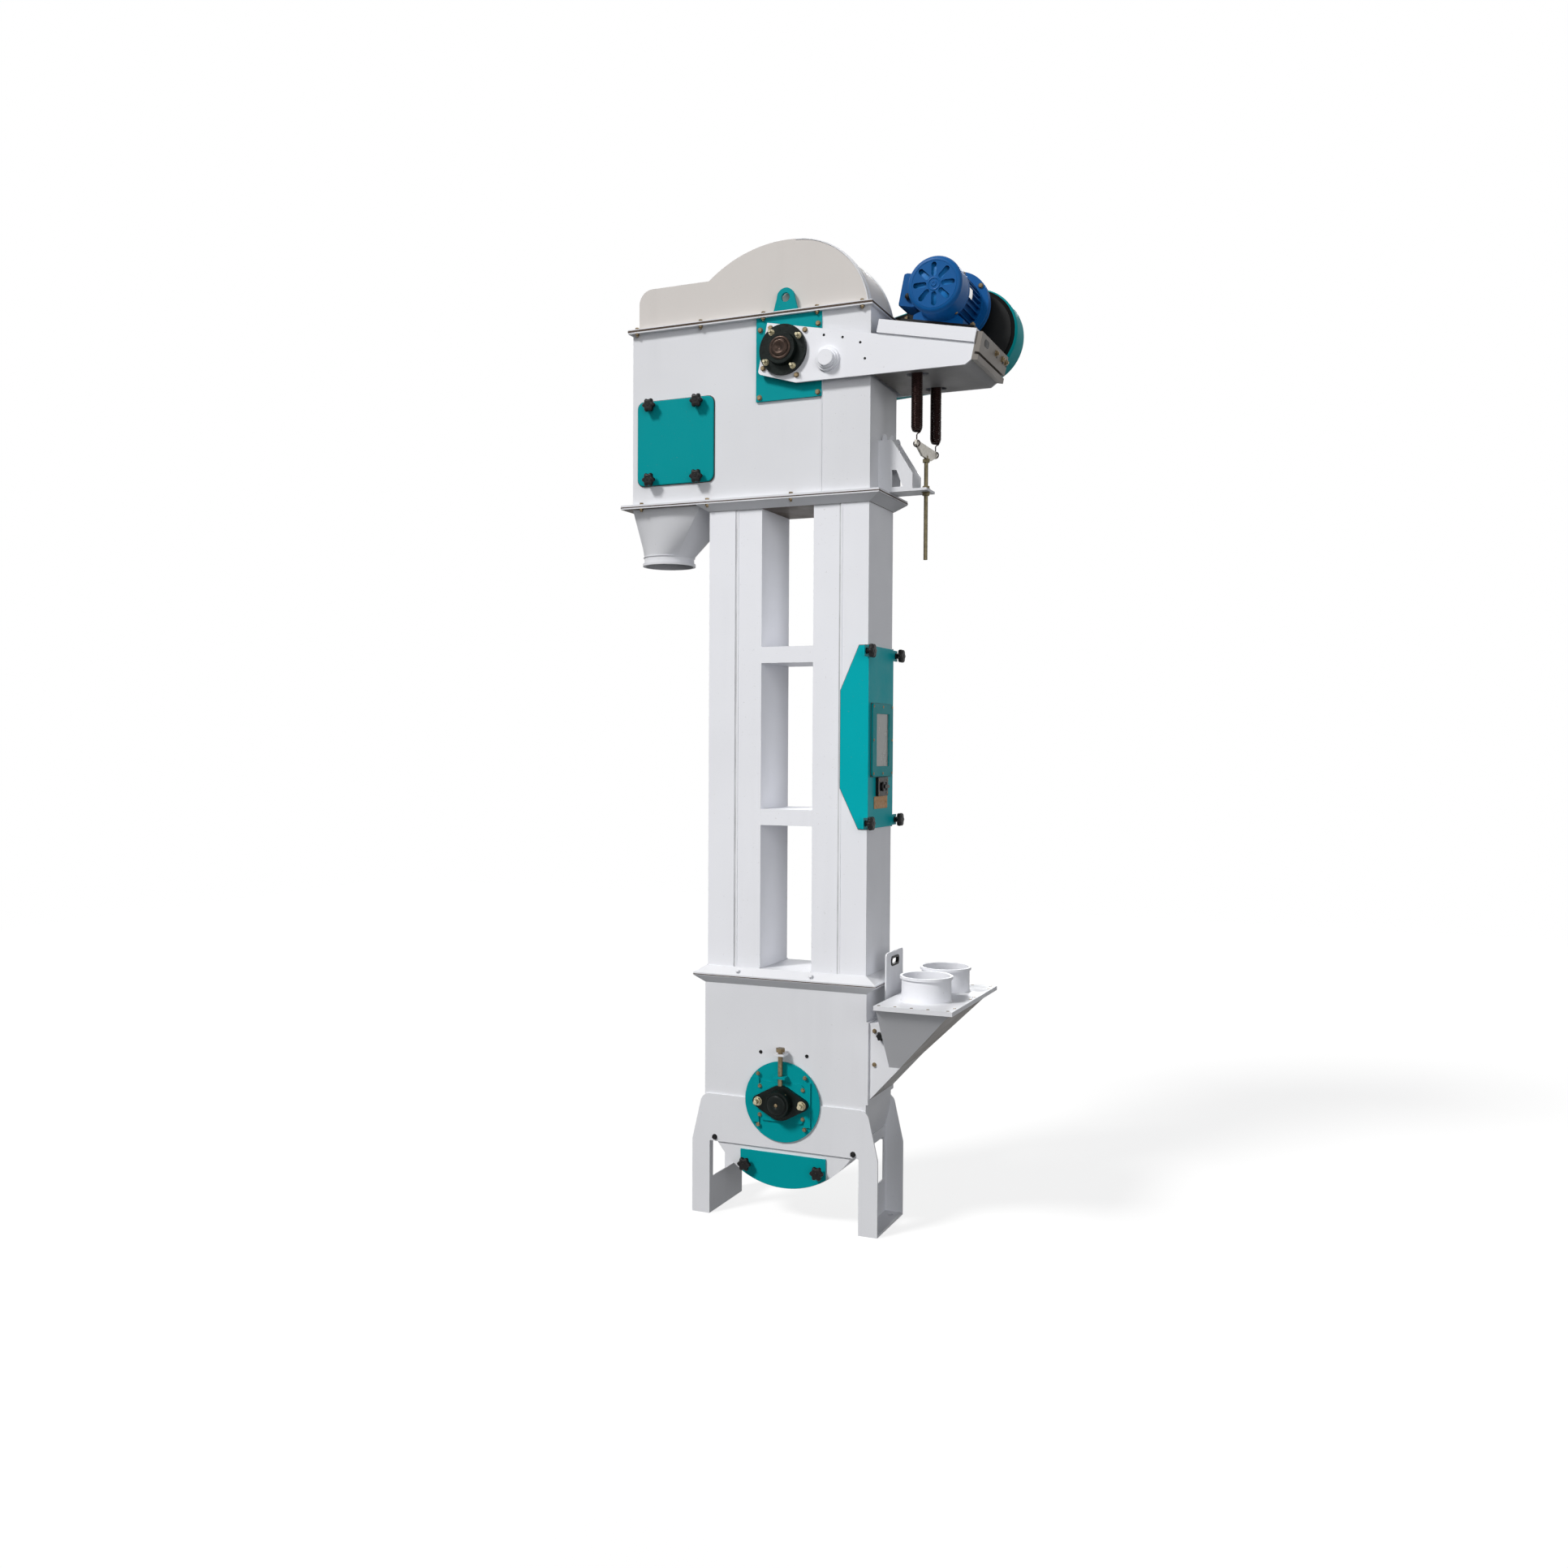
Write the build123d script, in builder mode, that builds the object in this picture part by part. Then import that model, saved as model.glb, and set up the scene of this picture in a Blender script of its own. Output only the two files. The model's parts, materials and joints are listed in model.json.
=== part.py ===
"""Belt-and-bucket elevator: boot on a stand, two trunk legs, head with a sprung drive base."""
from build123d import *
import math
import os

os.makedirs("parts", exist_ok=True)

# Lengths are millimetres. X runs along the machine, Y from front to rear, Z up from the floor.
# The origin is the middle of the stand's anchor pattern at floor level.

# Sheet and plate thicknesses
sheet = 3.0
casing = 4.0
plate = 6.0
thick_plate = 8.0
running_gap = 0.3
slide_gap = 0.3

# Shafts, pulleys and belt
boot_shaft_z = 413.0
head_shaft_z = 2899.0
pulley_width = 140.0
belt_to_trunk_centre = 65.5
shaft_radius = 25.0
belt_thickness = 5.0
belt_width = 130.0
bucket_projection = 98.0
bucket_depth = 92.0
bucket_width = 120.0
bucket_wall = 3.0
bucket_pitch = 222.0

# Trunk legs
trunk_width = 194.0
trunk_side_step = 5.5
trunk_depth = 231.0
seam_step = 2.5
tie_height = 54.0
lower_tie_z = 1363.0
upper_tie_z = 1906.0

# Boot and head casings share one depth
body_depth = 250.0
boot_half_width = 293.0
boot_joint_z = 822.0
flange_height = 8.0
flange_side_reach = 37.0
flange_front_reach = 20.0
skirt_height = 24.0
bevel_height = 24.0
moulding_edge = 3.0

# Stand
leg_reach = 44.5
leg_width = 66.0
stand_top_z = 413.0
stand_shoulder_reach = 7.0
stand_shoulder_z = 286.0
stand_leg_z = 252.0
stand_corner = 12.0
stand_shoulder_radius = 34.0
web_window_low = 121.0
web_window_high = 268.0
web_window_margin = 21.0
foot_thickness = 8.0
anchor_radius = 9.0
anchor_y = 90.0

# Take-up on both boot end walls
takeup_disc_radius = 135.0
takeup_slide_width = 176.0
takeup_slide_height = 132.0
takeup_guide_x = 93.0
takeup_guide_width = 22.0
takeup_guide_height = 150.0
takeup_bolt_spacing = 158.0
boot_bearing_ear = 20.0
boot_bearing_body = 58.0
bearing_flange = 14.0
bearing_hub_radius = 46.0
bearing_hub_length = 26.0
head_hub_length = 20.0
shaft_end = 3.0
screw_radius = 8.0
screw_top_z = 597.0
screw_tab_z = 572.0

# Clean-out doors under the stand plates
cleanout_half_width = 155.0
cleanout_top_z = 236.0
cleanout_margin = 24.0
cleanout_knob_x = 132.0
cleanout_knob_z = 192.0

# Inlet
inlet_half_width = 120.0
inlet_flange_half_width = 128.0
inlet_low_z = 437.0
inlet_high_z = 699.0
hopper_inner_reach = 78.0
hopper_throat_reach = 114.0
hopper_throat_z = 562.0
hopper_outer_reach = 327.0
hopper_half_depth = 262.0
hopper_top_z = 782.0
hopper_lip = 14.0
collar_reach = 197.0
collar_y = 105.0
collar_radius = 80.0
collar_height = 82.0
rim_reach = 5.0
rim_height = 9.0
gate_reach = 51.0
gate_thickness = 5.0
gate_half_width = 84.0
gate_bottom_z = 655.0
gate_top_z = 925.0
gate_slot_length = 76.0
gate_slot_height = 26.0
gate_slot_drop = 32.0
gate_frame_half_width = 78.0
gate_frame_sill = 12.0

# Inspection cover on the right leg
cover_low_z = 1333.0
cover_high_z = 1930.0
cover_cheek_width = 99.0
cover_shoulder_width = 35.0
cover_cheek_low_drop = 132.0
cover_cheek_high_drop = 146.0
cover_knob_y = 145.0
cover_knob_inset = 20.0
glass_width = 124.0
glass_height = 173.0
glass_centre_rise = 290.0
frame_width = 200.0
frame_height = 240.0
frame_thickness = 8.0
frame_rebate = 4.0
latch_width = 97.0
latch_height = 66.0
latch_centre_rise = 136.0

# Head casing and hood
head_left_reach = 289.0
head_joint_z = 2424.0
hood_joint_z = 3027.0
hood_flange_reach = 10.0
column_width = 168.0
hood_left_step = 24.0
hood_flat_height = 142.0
hood_corner = 50.0
hood_arc_offset = 301.0
hood_arc_drop = 208.0
hood_arc_radius = 450.0
hood_nose_offset = 275.0
hood_nose_drop = 26.0
hood_nose_radius = 267.0
door_centre_step = 168.0
door_centre_z = 2640.0
door_width = 292.0
door_height = 288.0
door_corner = 25.0
door_knob_x = 91.0
door_knob_z = 127.0
door_opening_margin = 30.0

# Discharge spout
spout_right_reach = 27.0
spout_centre_step = 77.0
spout_radius = 88.0
spout_throat_z = 2262.0
spout_end_z = 2232.0

# Head bearing plates, lifting lugs and bearings
bearing_plate_left = -110.0
bearing_plate_low_z = 2745.0
bearing_boss_radius = 70.0
bearing_boss_length = 15.0
head_bearing_radius = 82.0
head_bearing_bolt_radius = 69.0
lug_half_width = 42.5
lug_thickness = 10.0
lug_hole_z = 3075.0
lug_hole_radius = 15.0
lug_top_radius = 31.0

# Drive base, tilted about the head shaft
base_tilt = 11.5
arm_back = -78.0
arm_top = 82.0
arm_low = -86.0
arm_knee_x = 42.0
arm_bottom_z = 2790.0
arm_end_reach = 347.0
arm_corner = 12.0
pivot_boss_x = 155.0
pivot_boss_z = 2855.0
pivot_boss_radius = 39.0
platform_start_reach = 20.0
platform_top = 127.0
platform_low = 85.0
base_floor_reach = 17.0
spring_opening = 24.0
rail_thickness = 20.0
rail_low = 58.0
rail_high = 120.0
rail_lip_low = 33.0
rail_lip_high = 50.0

# Motor
motor_reach = 175.0
motor_shaft_height = 90.0
slide_base_height = 36.0
slide_rail_length = 250.0
slide_rail_width = 36.0
slide_rail_pitch = 106.0
bell_radius = 110.0
bell_length = 54.0
bell_clearance = 16.0
fan_cover_length = 98.0
motor_body_length = 144.0
fan_cover_wall = 2.5
fan_cover_overlap = 10.0
fan_petal_count = 8
fan_petal_inner = 24.0
fan_petal_outer = 68.0
fan_petal_width = 17.0
motor_core_radius = 74.0
motor_fin_radius = 86.0
motor_fin_count = 28
motor_fin_thickness = 3.0
motor_foot_reach = 85.0
motor_foot_height = 14.0
motor_neck_reach = 50.0
motor_neck_drop = 55.0
motor_shaft_radius = 14.0
terminal_box_size = (54.0, 104.0, 104.0)

# Belt guard behind the rear arm
guard_far_radius = 150.0
guard_near_radius = 105.0
guard_far_reach = 252.0
guard_far_rise = 80.0
guard_depth = 120.0
guard_wall = 3.0
guard_rim = 22.0
guard_front_rim = 18.0

# Spring tensioner
spring_reach = 148.0
spring_y = 100.0
spring_radius = 19.0
spring_low_z = 2607.0
spring_high_z = 2850.0
spring_pin_z = 2884.0
spring_pin_radius = 8.0
hook_wire = 3.0
yoke_top_z = 2581.0
yoke_height = 40.0
yoke_half_width = 112.0
yoke_foot_half_width = 45.0
rod_radius = 7.0
rod_low_z = 2212.0
bracket_half_width = 45.0
bracket_shelf_end = 16.0
bracket_top_z = 2603.0
bracket_box_width = 45.0
bracket_box_low_z = 2510.0
bracket_nose_width = 116.0
bracket_nose_z = 2489.0

# Star knobs
knob_radius = 17.0
knob_lobe = 6.5
knob_thickness = 16.0
knob_stem_radius = 9.0
knob_stem_length = 12.0

half_depth = body_depth / 2
trunk_centre = boot_half_width - trunk_side_step - trunk_width / 2
pulley_radius = trunk_centre - belt_to_trunk_centre
leg_outer_x = boot_half_width + leg_reach
stand_shoulder_x = boot_half_width + stand_shoulder_reach
hopper_inner_x = boot_half_width + hopper_inner_reach
hopper_throat_x = boot_half_width + hopper_throat_reach
hopper_outer_x = boot_half_width + hopper_outer_reach
collar_x = boot_half_width + collar_reach
gate_x = boot_half_width + gate_reach
cover_cheek_x = boot_half_width - cover_cheek_width
cover_shoulder_x = boot_half_width - cover_shoulder_width
cover_cheek_low_z = cover_low_z + cover_cheek_low_drop
cover_cheek_high_z = cover_high_z - cover_cheek_high_drop
glass_centre_z = cover_low_z + glass_centre_rise
latch_centre_z = cover_low_z + latch_centre_rise
column_left_x = boot_half_width - column_width
head_left_x = -boot_half_width - head_left_reach
hood_left_x = head_left_x + hood_left_step
hood_arc_x = boot_half_width - hood_arc_offset
hood_nose_x = boot_half_width - hood_nose_offset
door_centre_x = head_left_x + door_centre_step
spout_left_x = head_left_x
spout_right_x = -boot_half_width - spout_right_reach
spout_half_depth = half_depth
spout_centre_x = head_left_x + spout_centre_step
hood_flat_z = hood_joint_z + hood_flat_height
hood_arc_z = hood_joint_z - hood_arc_drop
hood_nose_z = hood_joint_z - hood_nose_drop
platform_start = boot_half_width + platform_start_reach
arm_end = boot_half_width + arm_end_reach
base_floor_x = boot_half_width + base_floor_reach
motor_u = boot_half_width + motor_reach
guard_far_x = boot_half_width + guard_far_reach
guard_far_z = head_shaft_z + guard_far_rise
spring_x = boot_half_width + spring_reach
bracket_shelf_x = spring_x + bracket_shelf_end
bracket_box_x = boot_half_width + bracket_box_width
bracket_nose_x = boot_half_width + bracket_nose_width
trunk_inner_x = trunk_centre - trunk_width / 2
trunk_outer_x = trunk_centre + trunk_width / 2
trunk_half_depth = trunk_depth / 2 + seam_step
boot_floor_z = boot_joint_z + plate
trunk_top_z = head_joint_z - plate
head_right_x = boot_half_width
flange_x = boot_half_width + flange_side_reach
flange_y = half_depth + flange_front_reach
stand_y = half_depth + plate
arm_y = half_depth + thick_plate + bearing_boss_length
platform_y = arm_y + thick_plate
guard_y = platform_y + plate
bell_end_y = guard_y - bell_clearance
bell_start_y = bell_end_y - bell_length
slide_rail_back_y = bell_start_y - slide_rail_width
slide_rail_front_y = slide_rail_back_y - slide_rail_pitch
fan_cover_rear_y = bell_start_y - motor_body_length
fan_cover_front_y = fan_cover_rear_y - fan_cover_length
fan_cover_radius = motor_fin_radius + running_gap + fan_cover_wall
base_cos = math.cos(math.radians(base_tilt))
base_sin = math.sin(math.radians(base_tilt))


def finish(piece, node):
    """Label a finished sub-part and write it under its node name."""
    piece.part.label = node
    export_step(piece.part, f"parts/{node}.step")


def on_base(u, v):
    """Turn a place on the tilted drive base into X and Z: u runs along it, v stands square to it."""
    return (u * base_cos + v * base_sin, head_shaft_z - u * base_sin + v * base_cos)


def front(distance):
    """The plane that faces forward at this distance in front of the centre plane."""
    return Plane.XZ.offset(distance)


def u_outline(half_width, top_z, distance):
    """Boot outline in a plane in front of the centre: straight sides, then a half round about the shaft."""
    with BuildSketch(front(distance)) as outline:
        with BuildLine():
            Polyline((-half_width, boot_shaft_z), (-half_width, top_z), (half_width, top_z),
                     (half_width, boot_shaft_z))
            ThreePointArc((half_width, boot_shaft_z), (0, boot_shaft_z - half_width),
                          (-half_width, boot_shaft_z))
        make_face()
    return outline.sketch


def block(x_range, y_range, z_range, mode=Mode.ADD):
    """A box between named limits on each axis."""
    centre = [(low + high) / 2 for low, high in (x_range, y_range, z_range)]
    size = [high - low for low, high in (x_range, y_range, z_range)]
    with Locations(tuple(centre)):
        Box(*size, mode=mode)


# Boot
opening_radius = boot_half_width - cleanout_margin
opening_half_width = cleanout_half_width - cleanout_margin
opening_top_z = cleanout_top_z - cleanout_margin / 2
tab_y = half_depth + 2 * plate + screw_radius + bearing_flange / 2
with BuildPart() as boot_casing:
    extrude(u_outline(boot_half_width, boot_joint_z, half_depth), amount=-body_depth)
    extrude(u_outline(boot_half_width - casing, boot_joint_z + casing, half_depth - casing),
            amount=-(body_depth - 2 * casing), mode=Mode.SUBTRACT)
    with BuildSketch(front(half_depth)):
        with Locations((0, boot_shaft_z)):
            SlotOverall(2 * shaft_radius + 90, 2 * shaft_radius + 20, rotation=90)
    extrude(amount=-body_depth, mode=Mode.SUBTRACT)
    with BuildSketch(front(half_depth)):
        with Locations((0, boot_shaft_z)):
            Circle(opening_radius)
        with Locations((0, opening_top_z)):
            Rectangle(2 * opening_half_width, 2 * boot_half_width, align=(Align.CENTER, Align.MAX),
                      mode=Mode.INTERSECT)
    extrude(amount=-body_depth, mode=Mode.SUBTRACT)
    block((0, boot_half_width + casing), (-inlet_half_width + sheet, inlet_half_width - sheet),
          (inlet_low_z + 2 * sheet, inlet_high_z - sheet), Mode.SUBTRACT)
    block((-flange_x, flange_x), (-flange_y, flange_y), (boot_joint_z - moulding_edge, boot_joint_z))
    with BuildSketch(Plane.XY.offset(boot_joint_z - moulding_edge)):
        Rectangle(2 * flange_x, 2 * flange_y)
    with BuildSketch(Plane.XY.offset(boot_joint_z - moulding_edge - bevel_height)):
        Rectangle(2 * boot_half_width + 2, body_depth + 2)
    loft(ruled=True)
    block((-boot_half_width + casing, boot_half_width - casing), (-half_depth + casing, half_depth - casing),
          (boot_shaft_z, boot_joint_z + 1), Mode.SUBTRACT)
    for side in (-1, 1):
        block((-18, 18), sorted((side * half_depth, side * (tab_y + 16))), (screw_tab_z, screw_tab_z + plate))
        with Locations((0, side * tab_y, screw_tab_z)):
            Cylinder(screw_radius + running_gap, 4 * plate, mode=Mode.SUBTRACT)
finish(boot_casing, "boot_casing")


def skirted_plate(piece_z, direction):
    """Plate round both trunk ends with a sloped skirt; direction is 1 above the boot, -1 under the head."""
    block((-flange_x, flange_x), (-flange_y, flange_y), sorted((piece_z, piece_z + direction * plate)))
    with BuildSketch(Plane.XY.offset(piece_z + direction * plate)) as skirt_foot:
        Rectangle(2 * flange_x - moulding_edge, 2 * flange_y - moulding_edge)
    with BuildSketch(Plane.XY.offset(piece_z + direction * (plate + skirt_height))) as skirt_top:
        Rectangle(2 * (trunk_outer_x + moulding_edge), 2 * (trunk_half_depth + moulding_edge))
    loft([skirt_foot.sketch, skirt_top.sketch], ruled=True)
    for side in (-1, 1):
        block(sorted((side * trunk_inner_x, side * trunk_outer_x)), (-trunk_half_depth, trunk_half_depth),
              sorted((piece_z + direction * plate, piece_z + direction * 3 * skirt_height)), Mode.SUBTRACT)
        block(sorted((side * (trunk_inner_x + sheet), side * (trunk_outer_x - sheet))),
              (-trunk_depth / 2 + sheet, trunk_depth / 2 - sheet),
              (piece_z - 3 * plate, piece_z + 3 * plate), Mode.SUBTRACT)


with BuildPart() as boot_cover:
    skirted_plate(boot_joint_z, 1)
finish(boot_cover, "boot_cover")

# Stand
with BuildPart() as stand_plates:
    with BuildSketch(front(half_depth)) as stand_outline:
        with BuildLine():
            Polyline((0, stand_top_z), (stand_shoulder_x, stand_top_z),
                     (leg_outer_x - 2 * casing, stand_shoulder_z), (leg_outer_x, stand_leg_z),
                     (leg_outer_x, 0), (leg_outer_x - leg_width, 0),
                     (leg_outer_x - leg_width, stand_leg_z), (0, stand_leg_z), close=True)
        make_face()
        fillet(stand_outline.vertices().filter_by_position(Axis.X, leg_outer_x - leg_width - 1,
               leg_outer_x - leg_width + 1).filter_by_position(Axis.Z, stand_leg_z - 1, stand_leg_z + 1),
               stand_corner)
        fillet(stand_outline.vertices().filter_by_position(Axis.X, stand_shoulder_x - 1, stand_shoulder_x + 1),
               stand_shoulder_radius)
        mirror(about=Plane.YZ)
    extrude(amount=plate)
    with Locations((0, -half_depth, boot_shaft_z)):
        Cylinder(takeup_disc_radius - 40, 4 * plate, rotation=(90, 0, 0), mode=Mode.SUBTRACT)
    mirror(about=Plane.XZ)
finish(stand_plates, "stand_plates")

leg_inner_x = leg_outer_x - leg_width
web_top_z = boot_shaft_z - math.sqrt(boot_half_width ** 2 - leg_inner_x ** 2) - 1
with BuildPart() as stand_sides:
    block((leg_inner_x, leg_inner_x + casing), (-half_depth, half_depth), (0, web_top_z))
    block((leg_inner_x - 1, leg_inner_x + casing + 1),
          (-half_depth + web_window_margin, half_depth - web_window_margin),
          (web_window_low, web_window_high), Mode.SUBTRACT)
    block((leg_inner_x + casing, leg_outer_x), (-half_depth, half_depth), (0, foot_thickness))
    with Locations(*[((leg_inner_x + casing + leg_outer_x) / 2, side * anchor_y, foot_thickness / 2)
                     for side in (-1, 1)]):
        Cylinder(anchor_radius, 2 * foot_thickness, mode=Mode.SUBTRACT)
    mirror(about=Plane.YZ)
finish(stand_sides, "stand_sides")

# Take-up
with BuildPart() as takeup_discs:
    with BuildSketch(front(stand_y)):
        with Locations((0, boot_shaft_z)):
            Circle(takeup_disc_radius)
            Circle(shaft_radius + 14, mode=Mode.SUBTRACT)
    extrude(amount=plate)
    with BuildSketch(front(stand_y + plate)):
        with Locations((0, boot_shaft_z)):
            RectangleRounded(takeup_slide_width - takeup_guide_width / 2, takeup_slide_height, 20)
            Circle(shaft_radius + 14, mode=Mode.SUBTRACT)
    extrude(amount=plate)
    with BuildSketch(front(stand_y + plate)):
        with Locations((-takeup_guide_x, boot_shaft_z), (takeup_guide_x, boot_shaft_z)):
            Rectangle(takeup_guide_width, takeup_guide_height)
    extrude(amount=plate)
    block((-22, 22), (-tab_y - 14, -stand_y - plate), (boot_shaft_z + 82, boot_shaft_z + 82 + thick_plate))
    with Locations((0, -tab_y, boot_shaft_z + 82)):
        Cylinder(screw_radius + running_gap, 4 * thick_plate, mode=Mode.SUBTRACT)
    mirror(about=Plane.XZ)
finish(takeup_discs, "takeup_discs")

bearing_back_y = stand_y + 2 * plate
with BuildPart() as boot_bearings:
    with BuildSketch(front(bearing_back_y)):
        with Locations((0, boot_shaft_z)):
            Circle(boot_bearing_body)
        ears = [(side * takeup_bolt_spacing / 2, boot_shaft_z) for side in (-1, 1)]
        for ear in ears:
            with Locations(ear):
                Circle(boot_bearing_ear)
        make_hull()
    extrude(amount=bearing_flange)
    with BuildSketch(front(bearing_back_y + bearing_flange)):
        with Locations((0, boot_shaft_z)):
            Circle(bearing_hub_radius)
    extrude(amount=bearing_hub_length, taper=8)
    with Locations((0, -bearing_back_y, boot_shaft_z)):
        Cylinder(shaft_radius + running_gap, 200, rotation=(90, 0, 0), mode=Mode.SUBTRACT)
    mirror(about=Plane.XZ)
finish(boot_bearings, "boot_bearings")

with BuildPart() as takeup_screws:
    for side in (-1, 1):
        with Locations((0, side * tab_y, boot_shaft_z + boot_bearing_body)):
            Cylinder(screw_radius, screw_top_z - boot_shaft_z - boot_bearing_body,
                     align=(Align.CENTER, Align.CENTER, Align.MIN))
        with BuildSketch(Plane.XY.offset(screw_top_z - 12)):
            with Locations((0, side * tab_y)):
                RegularPolygon(2 * screw_radius, 6)
        extrude(amount=12)
finish(takeup_screws, "takeup_screws")

# Clean-out doors
with BuildPart() as cleanout_doors:
    with BuildSketch(front(half_depth)):
        with Locations((0, boot_shaft_z)):
            Circle(boot_half_width - 2)
            Rectangle(2 * cleanout_half_width, 2 * boot_half_width, mode=Mode.INTERSECT)
        with Locations((0, cleanout_top_z + boot_half_width)):
            Rectangle(2 * boot_half_width, 2 * boot_half_width, mode=Mode.SUBTRACT)
    extrude(amount=plate)
    mirror(about=Plane.XZ)
finish(cleanout_doors, "cleanout_doors")

# Inlet chute, hopper and gate
chute_profile = [(boot_half_width, inlet_low_z), (boot_half_width, inlet_high_z), (hopper_inner_x, inlet_high_z),
                 (hopper_inner_x, hopper_throat_z), (hopper_throat_x, hopper_throat_z)]
slope = (hopper_throat_z - inlet_low_z) / (hopper_throat_x - boot_half_width)
slope_wall = sheet * math.sqrt(1 + slope ** 2)
with BuildPart() as inlet_chute:
    with BuildSketch(Plane.XZ):
        with BuildLine():
            Polyline(*chute_profile, close=True)
        make_face()
    extrude(amount=inlet_half_width, both=True)
    with BuildSketch(Plane.XZ):
        with BuildLine():
            Polyline((boot_half_width - 10, inlet_low_z + slope_wall - 10 * slope),
                     (boot_half_width - 10, inlet_high_z - sheet), (hopper_inner_x + 10, inlet_high_z - sheet),
                     (hopper_inner_x + 10, hopper_throat_z + 40),
                     (hopper_throat_x + 10, hopper_throat_z + slope_wall + 10 * slope), close=True)
        make_face()
    extrude(amount=inlet_half_width - sheet, both=True, mode=Mode.SUBTRACT)
    block((boot_half_width, boot_half_width + thick_plate), (-inlet_flange_half_width, inlet_flange_half_width),
          (inlet_low_z - 5, inlet_high_z + 4))
    block((boot_half_width - 1, boot_half_width + thick_plate + 1),
          (-inlet_half_width + sheet, inlet_half_width - sheet),
          (inlet_low_z + 2 * sheet + thick_plate, inlet_high_z - sheet), Mode.SUBTRACT)
    guide = gate_thickness / 2 + slide_gap
    for side in (-1, 1):
        block(sorted((gate_x + side * guide, gate_x + side * (guide + sheet))),
              (-gate_half_width, gate_half_width), (inlet_high_z, inlet_high_z + 4 * sheet))
    block((gate_x - guide, gate_x + guide), (-gate_half_width - 2, gate_half_width + 2),
          (inlet_high_z - 2 * sheet, inlet_high_z + 5 * sheet), Mode.SUBTRACT)
    frame_x = gate_x - guide
    frame_low_z = inlet_low_z + slope_wall + slope * (frame_x - boot_half_width)
    with BuildSketch(Plane.YZ.offset(frame_x)):
        with Locations((0, frame_low_z - slope_wall / 2)):
            Rectangle(2 * inlet_half_width - sheet, inlet_high_z - frame_low_z,
                      align=(Align.CENTER, Align.MIN))
        with Locations((0, frame_low_z + gate_frame_sill)):
            Rectangle(2 * gate_frame_half_width, inlet_high_z - sheet - frame_low_z - gate_frame_sill,
                      align=(Align.CENTER, Align.MIN), mode=Mode.SUBTRACT)
    extrude(amount=-sheet)
finish(inlet_chute, "inlet_chute")


def hopper_form(wall):
    """Solid between the throat and the top edge, pulled in by the wall; the inner face stays upright."""
    throat_width = hopper_throat_x - hopper_inner_x
    top_width = hopper_outer_x - hopper_inner_x
    with BuildSketch(Plane.XY.offset(hopper_throat_z)) as throat:
        with Locations((hopper_inner_x + throat_width / 2, 0)):
            Rectangle(throat_width - 2 * wall, 2 * (inlet_half_width - wall))
    with BuildSketch(Plane.XY.offset(hopper_top_z)) as mouth:
        with Locations((hopper_inner_x + top_width / 2, 0)):
            Rectangle(top_width - 2 * wall, 2 * (hopper_half_depth - wall))
    return [throat.sketch, mouth.sketch]


with BuildPart() as inlet_hopper:
    loft(hopper_form(0), ruled=True)
    loft(hopper_form(sheet), ruled=True, mode=Mode.SUBTRACT)
    block((hopper_inner_x - 1, hopper_inner_x + 2 * sheet),
          (-inlet_half_width + sheet, inlet_half_width - sheet),
          (hopper_throat_z - 1, inlet_high_z - 2 * sheet), Mode.SUBTRACT)
finish(inlet_hopper, "inlet_hopper")

hopper_centre_x = (hopper_inner_x + hopper_outer_x) / 2
hopper_width = hopper_outer_x - hopper_inner_x
with BuildPart() as hopper_top:
    with BuildSketch(Plane.XY.offset(hopper_top_z - hopper_lip + casing)):
        with Locations((hopper_centre_x, 0)):
            Rectangle(hopper_width + 2 * casing, 2 * (hopper_half_depth + casing))
    extrude(amount=hopper_lip)
    with BuildSketch(Plane.XY.offset(hopper_top_z)):
        with Locations((hopper_centre_x, 0)):
            Rectangle(hopper_width, 2 * hopper_half_depth)
    extrude(amount=-hopper_lip, mode=Mode.SUBTRACT)
    with BuildSketch(Plane.XY.offset(hopper_top_z)):
        with Locations((collar_x, -collar_y), (collar_x, collar_y)):
            Circle(collar_radius - sheet)
    extrude(amount=casing, mode=Mode.SUBTRACT)
finish(hopper_top, "hopper_top")


def collar(centre_x, centre_y, base_z, direction, radius, height):
    """Open tube with a rolled rim at its free end."""
    for outer, low, length in ((radius, 0, height), (radius + rim_reach, height - rim_height, rim_height)):
        with BuildSketch(Plane.XY.offset(base_z + direction * low)) as ring:
            with Locations((centre_x, centre_y)):
                Circle(outer)
                Circle(radius - sheet, mode=Mode.SUBTRACT)
        extrude(ring.sketch, amount=direction * length)


with BuildPart() as inlet_collars:
    for side in (-1, 1):
        collar(collar_x, side * collar_y, hopper_top_z + casing, 1, collar_radius, collar_height)
finish(inlet_collars, "inlet_collars")

with BuildPart() as feed_gate:
    block((gate_x - gate_thickness / 2, gate_x + gate_thickness / 2), (-gate_half_width, gate_half_width),
          (gate_bottom_z, gate_top_z))
    fillet(feed_gate.edges().filter_by(Axis.X).group_by(Axis.Z)[-1], 12)
    with BuildSketch(Plane.YZ.offset(gate_x - gate_thickness)):
        with Locations((0, gate_top_z - gate_slot_drop)):
            SlotOverall(gate_slot_length, gate_slot_height)
    extrude(amount=2 * gate_thickness, mode=Mode.SUBTRACT)
finish(feed_gate, "feed_gate")

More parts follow.
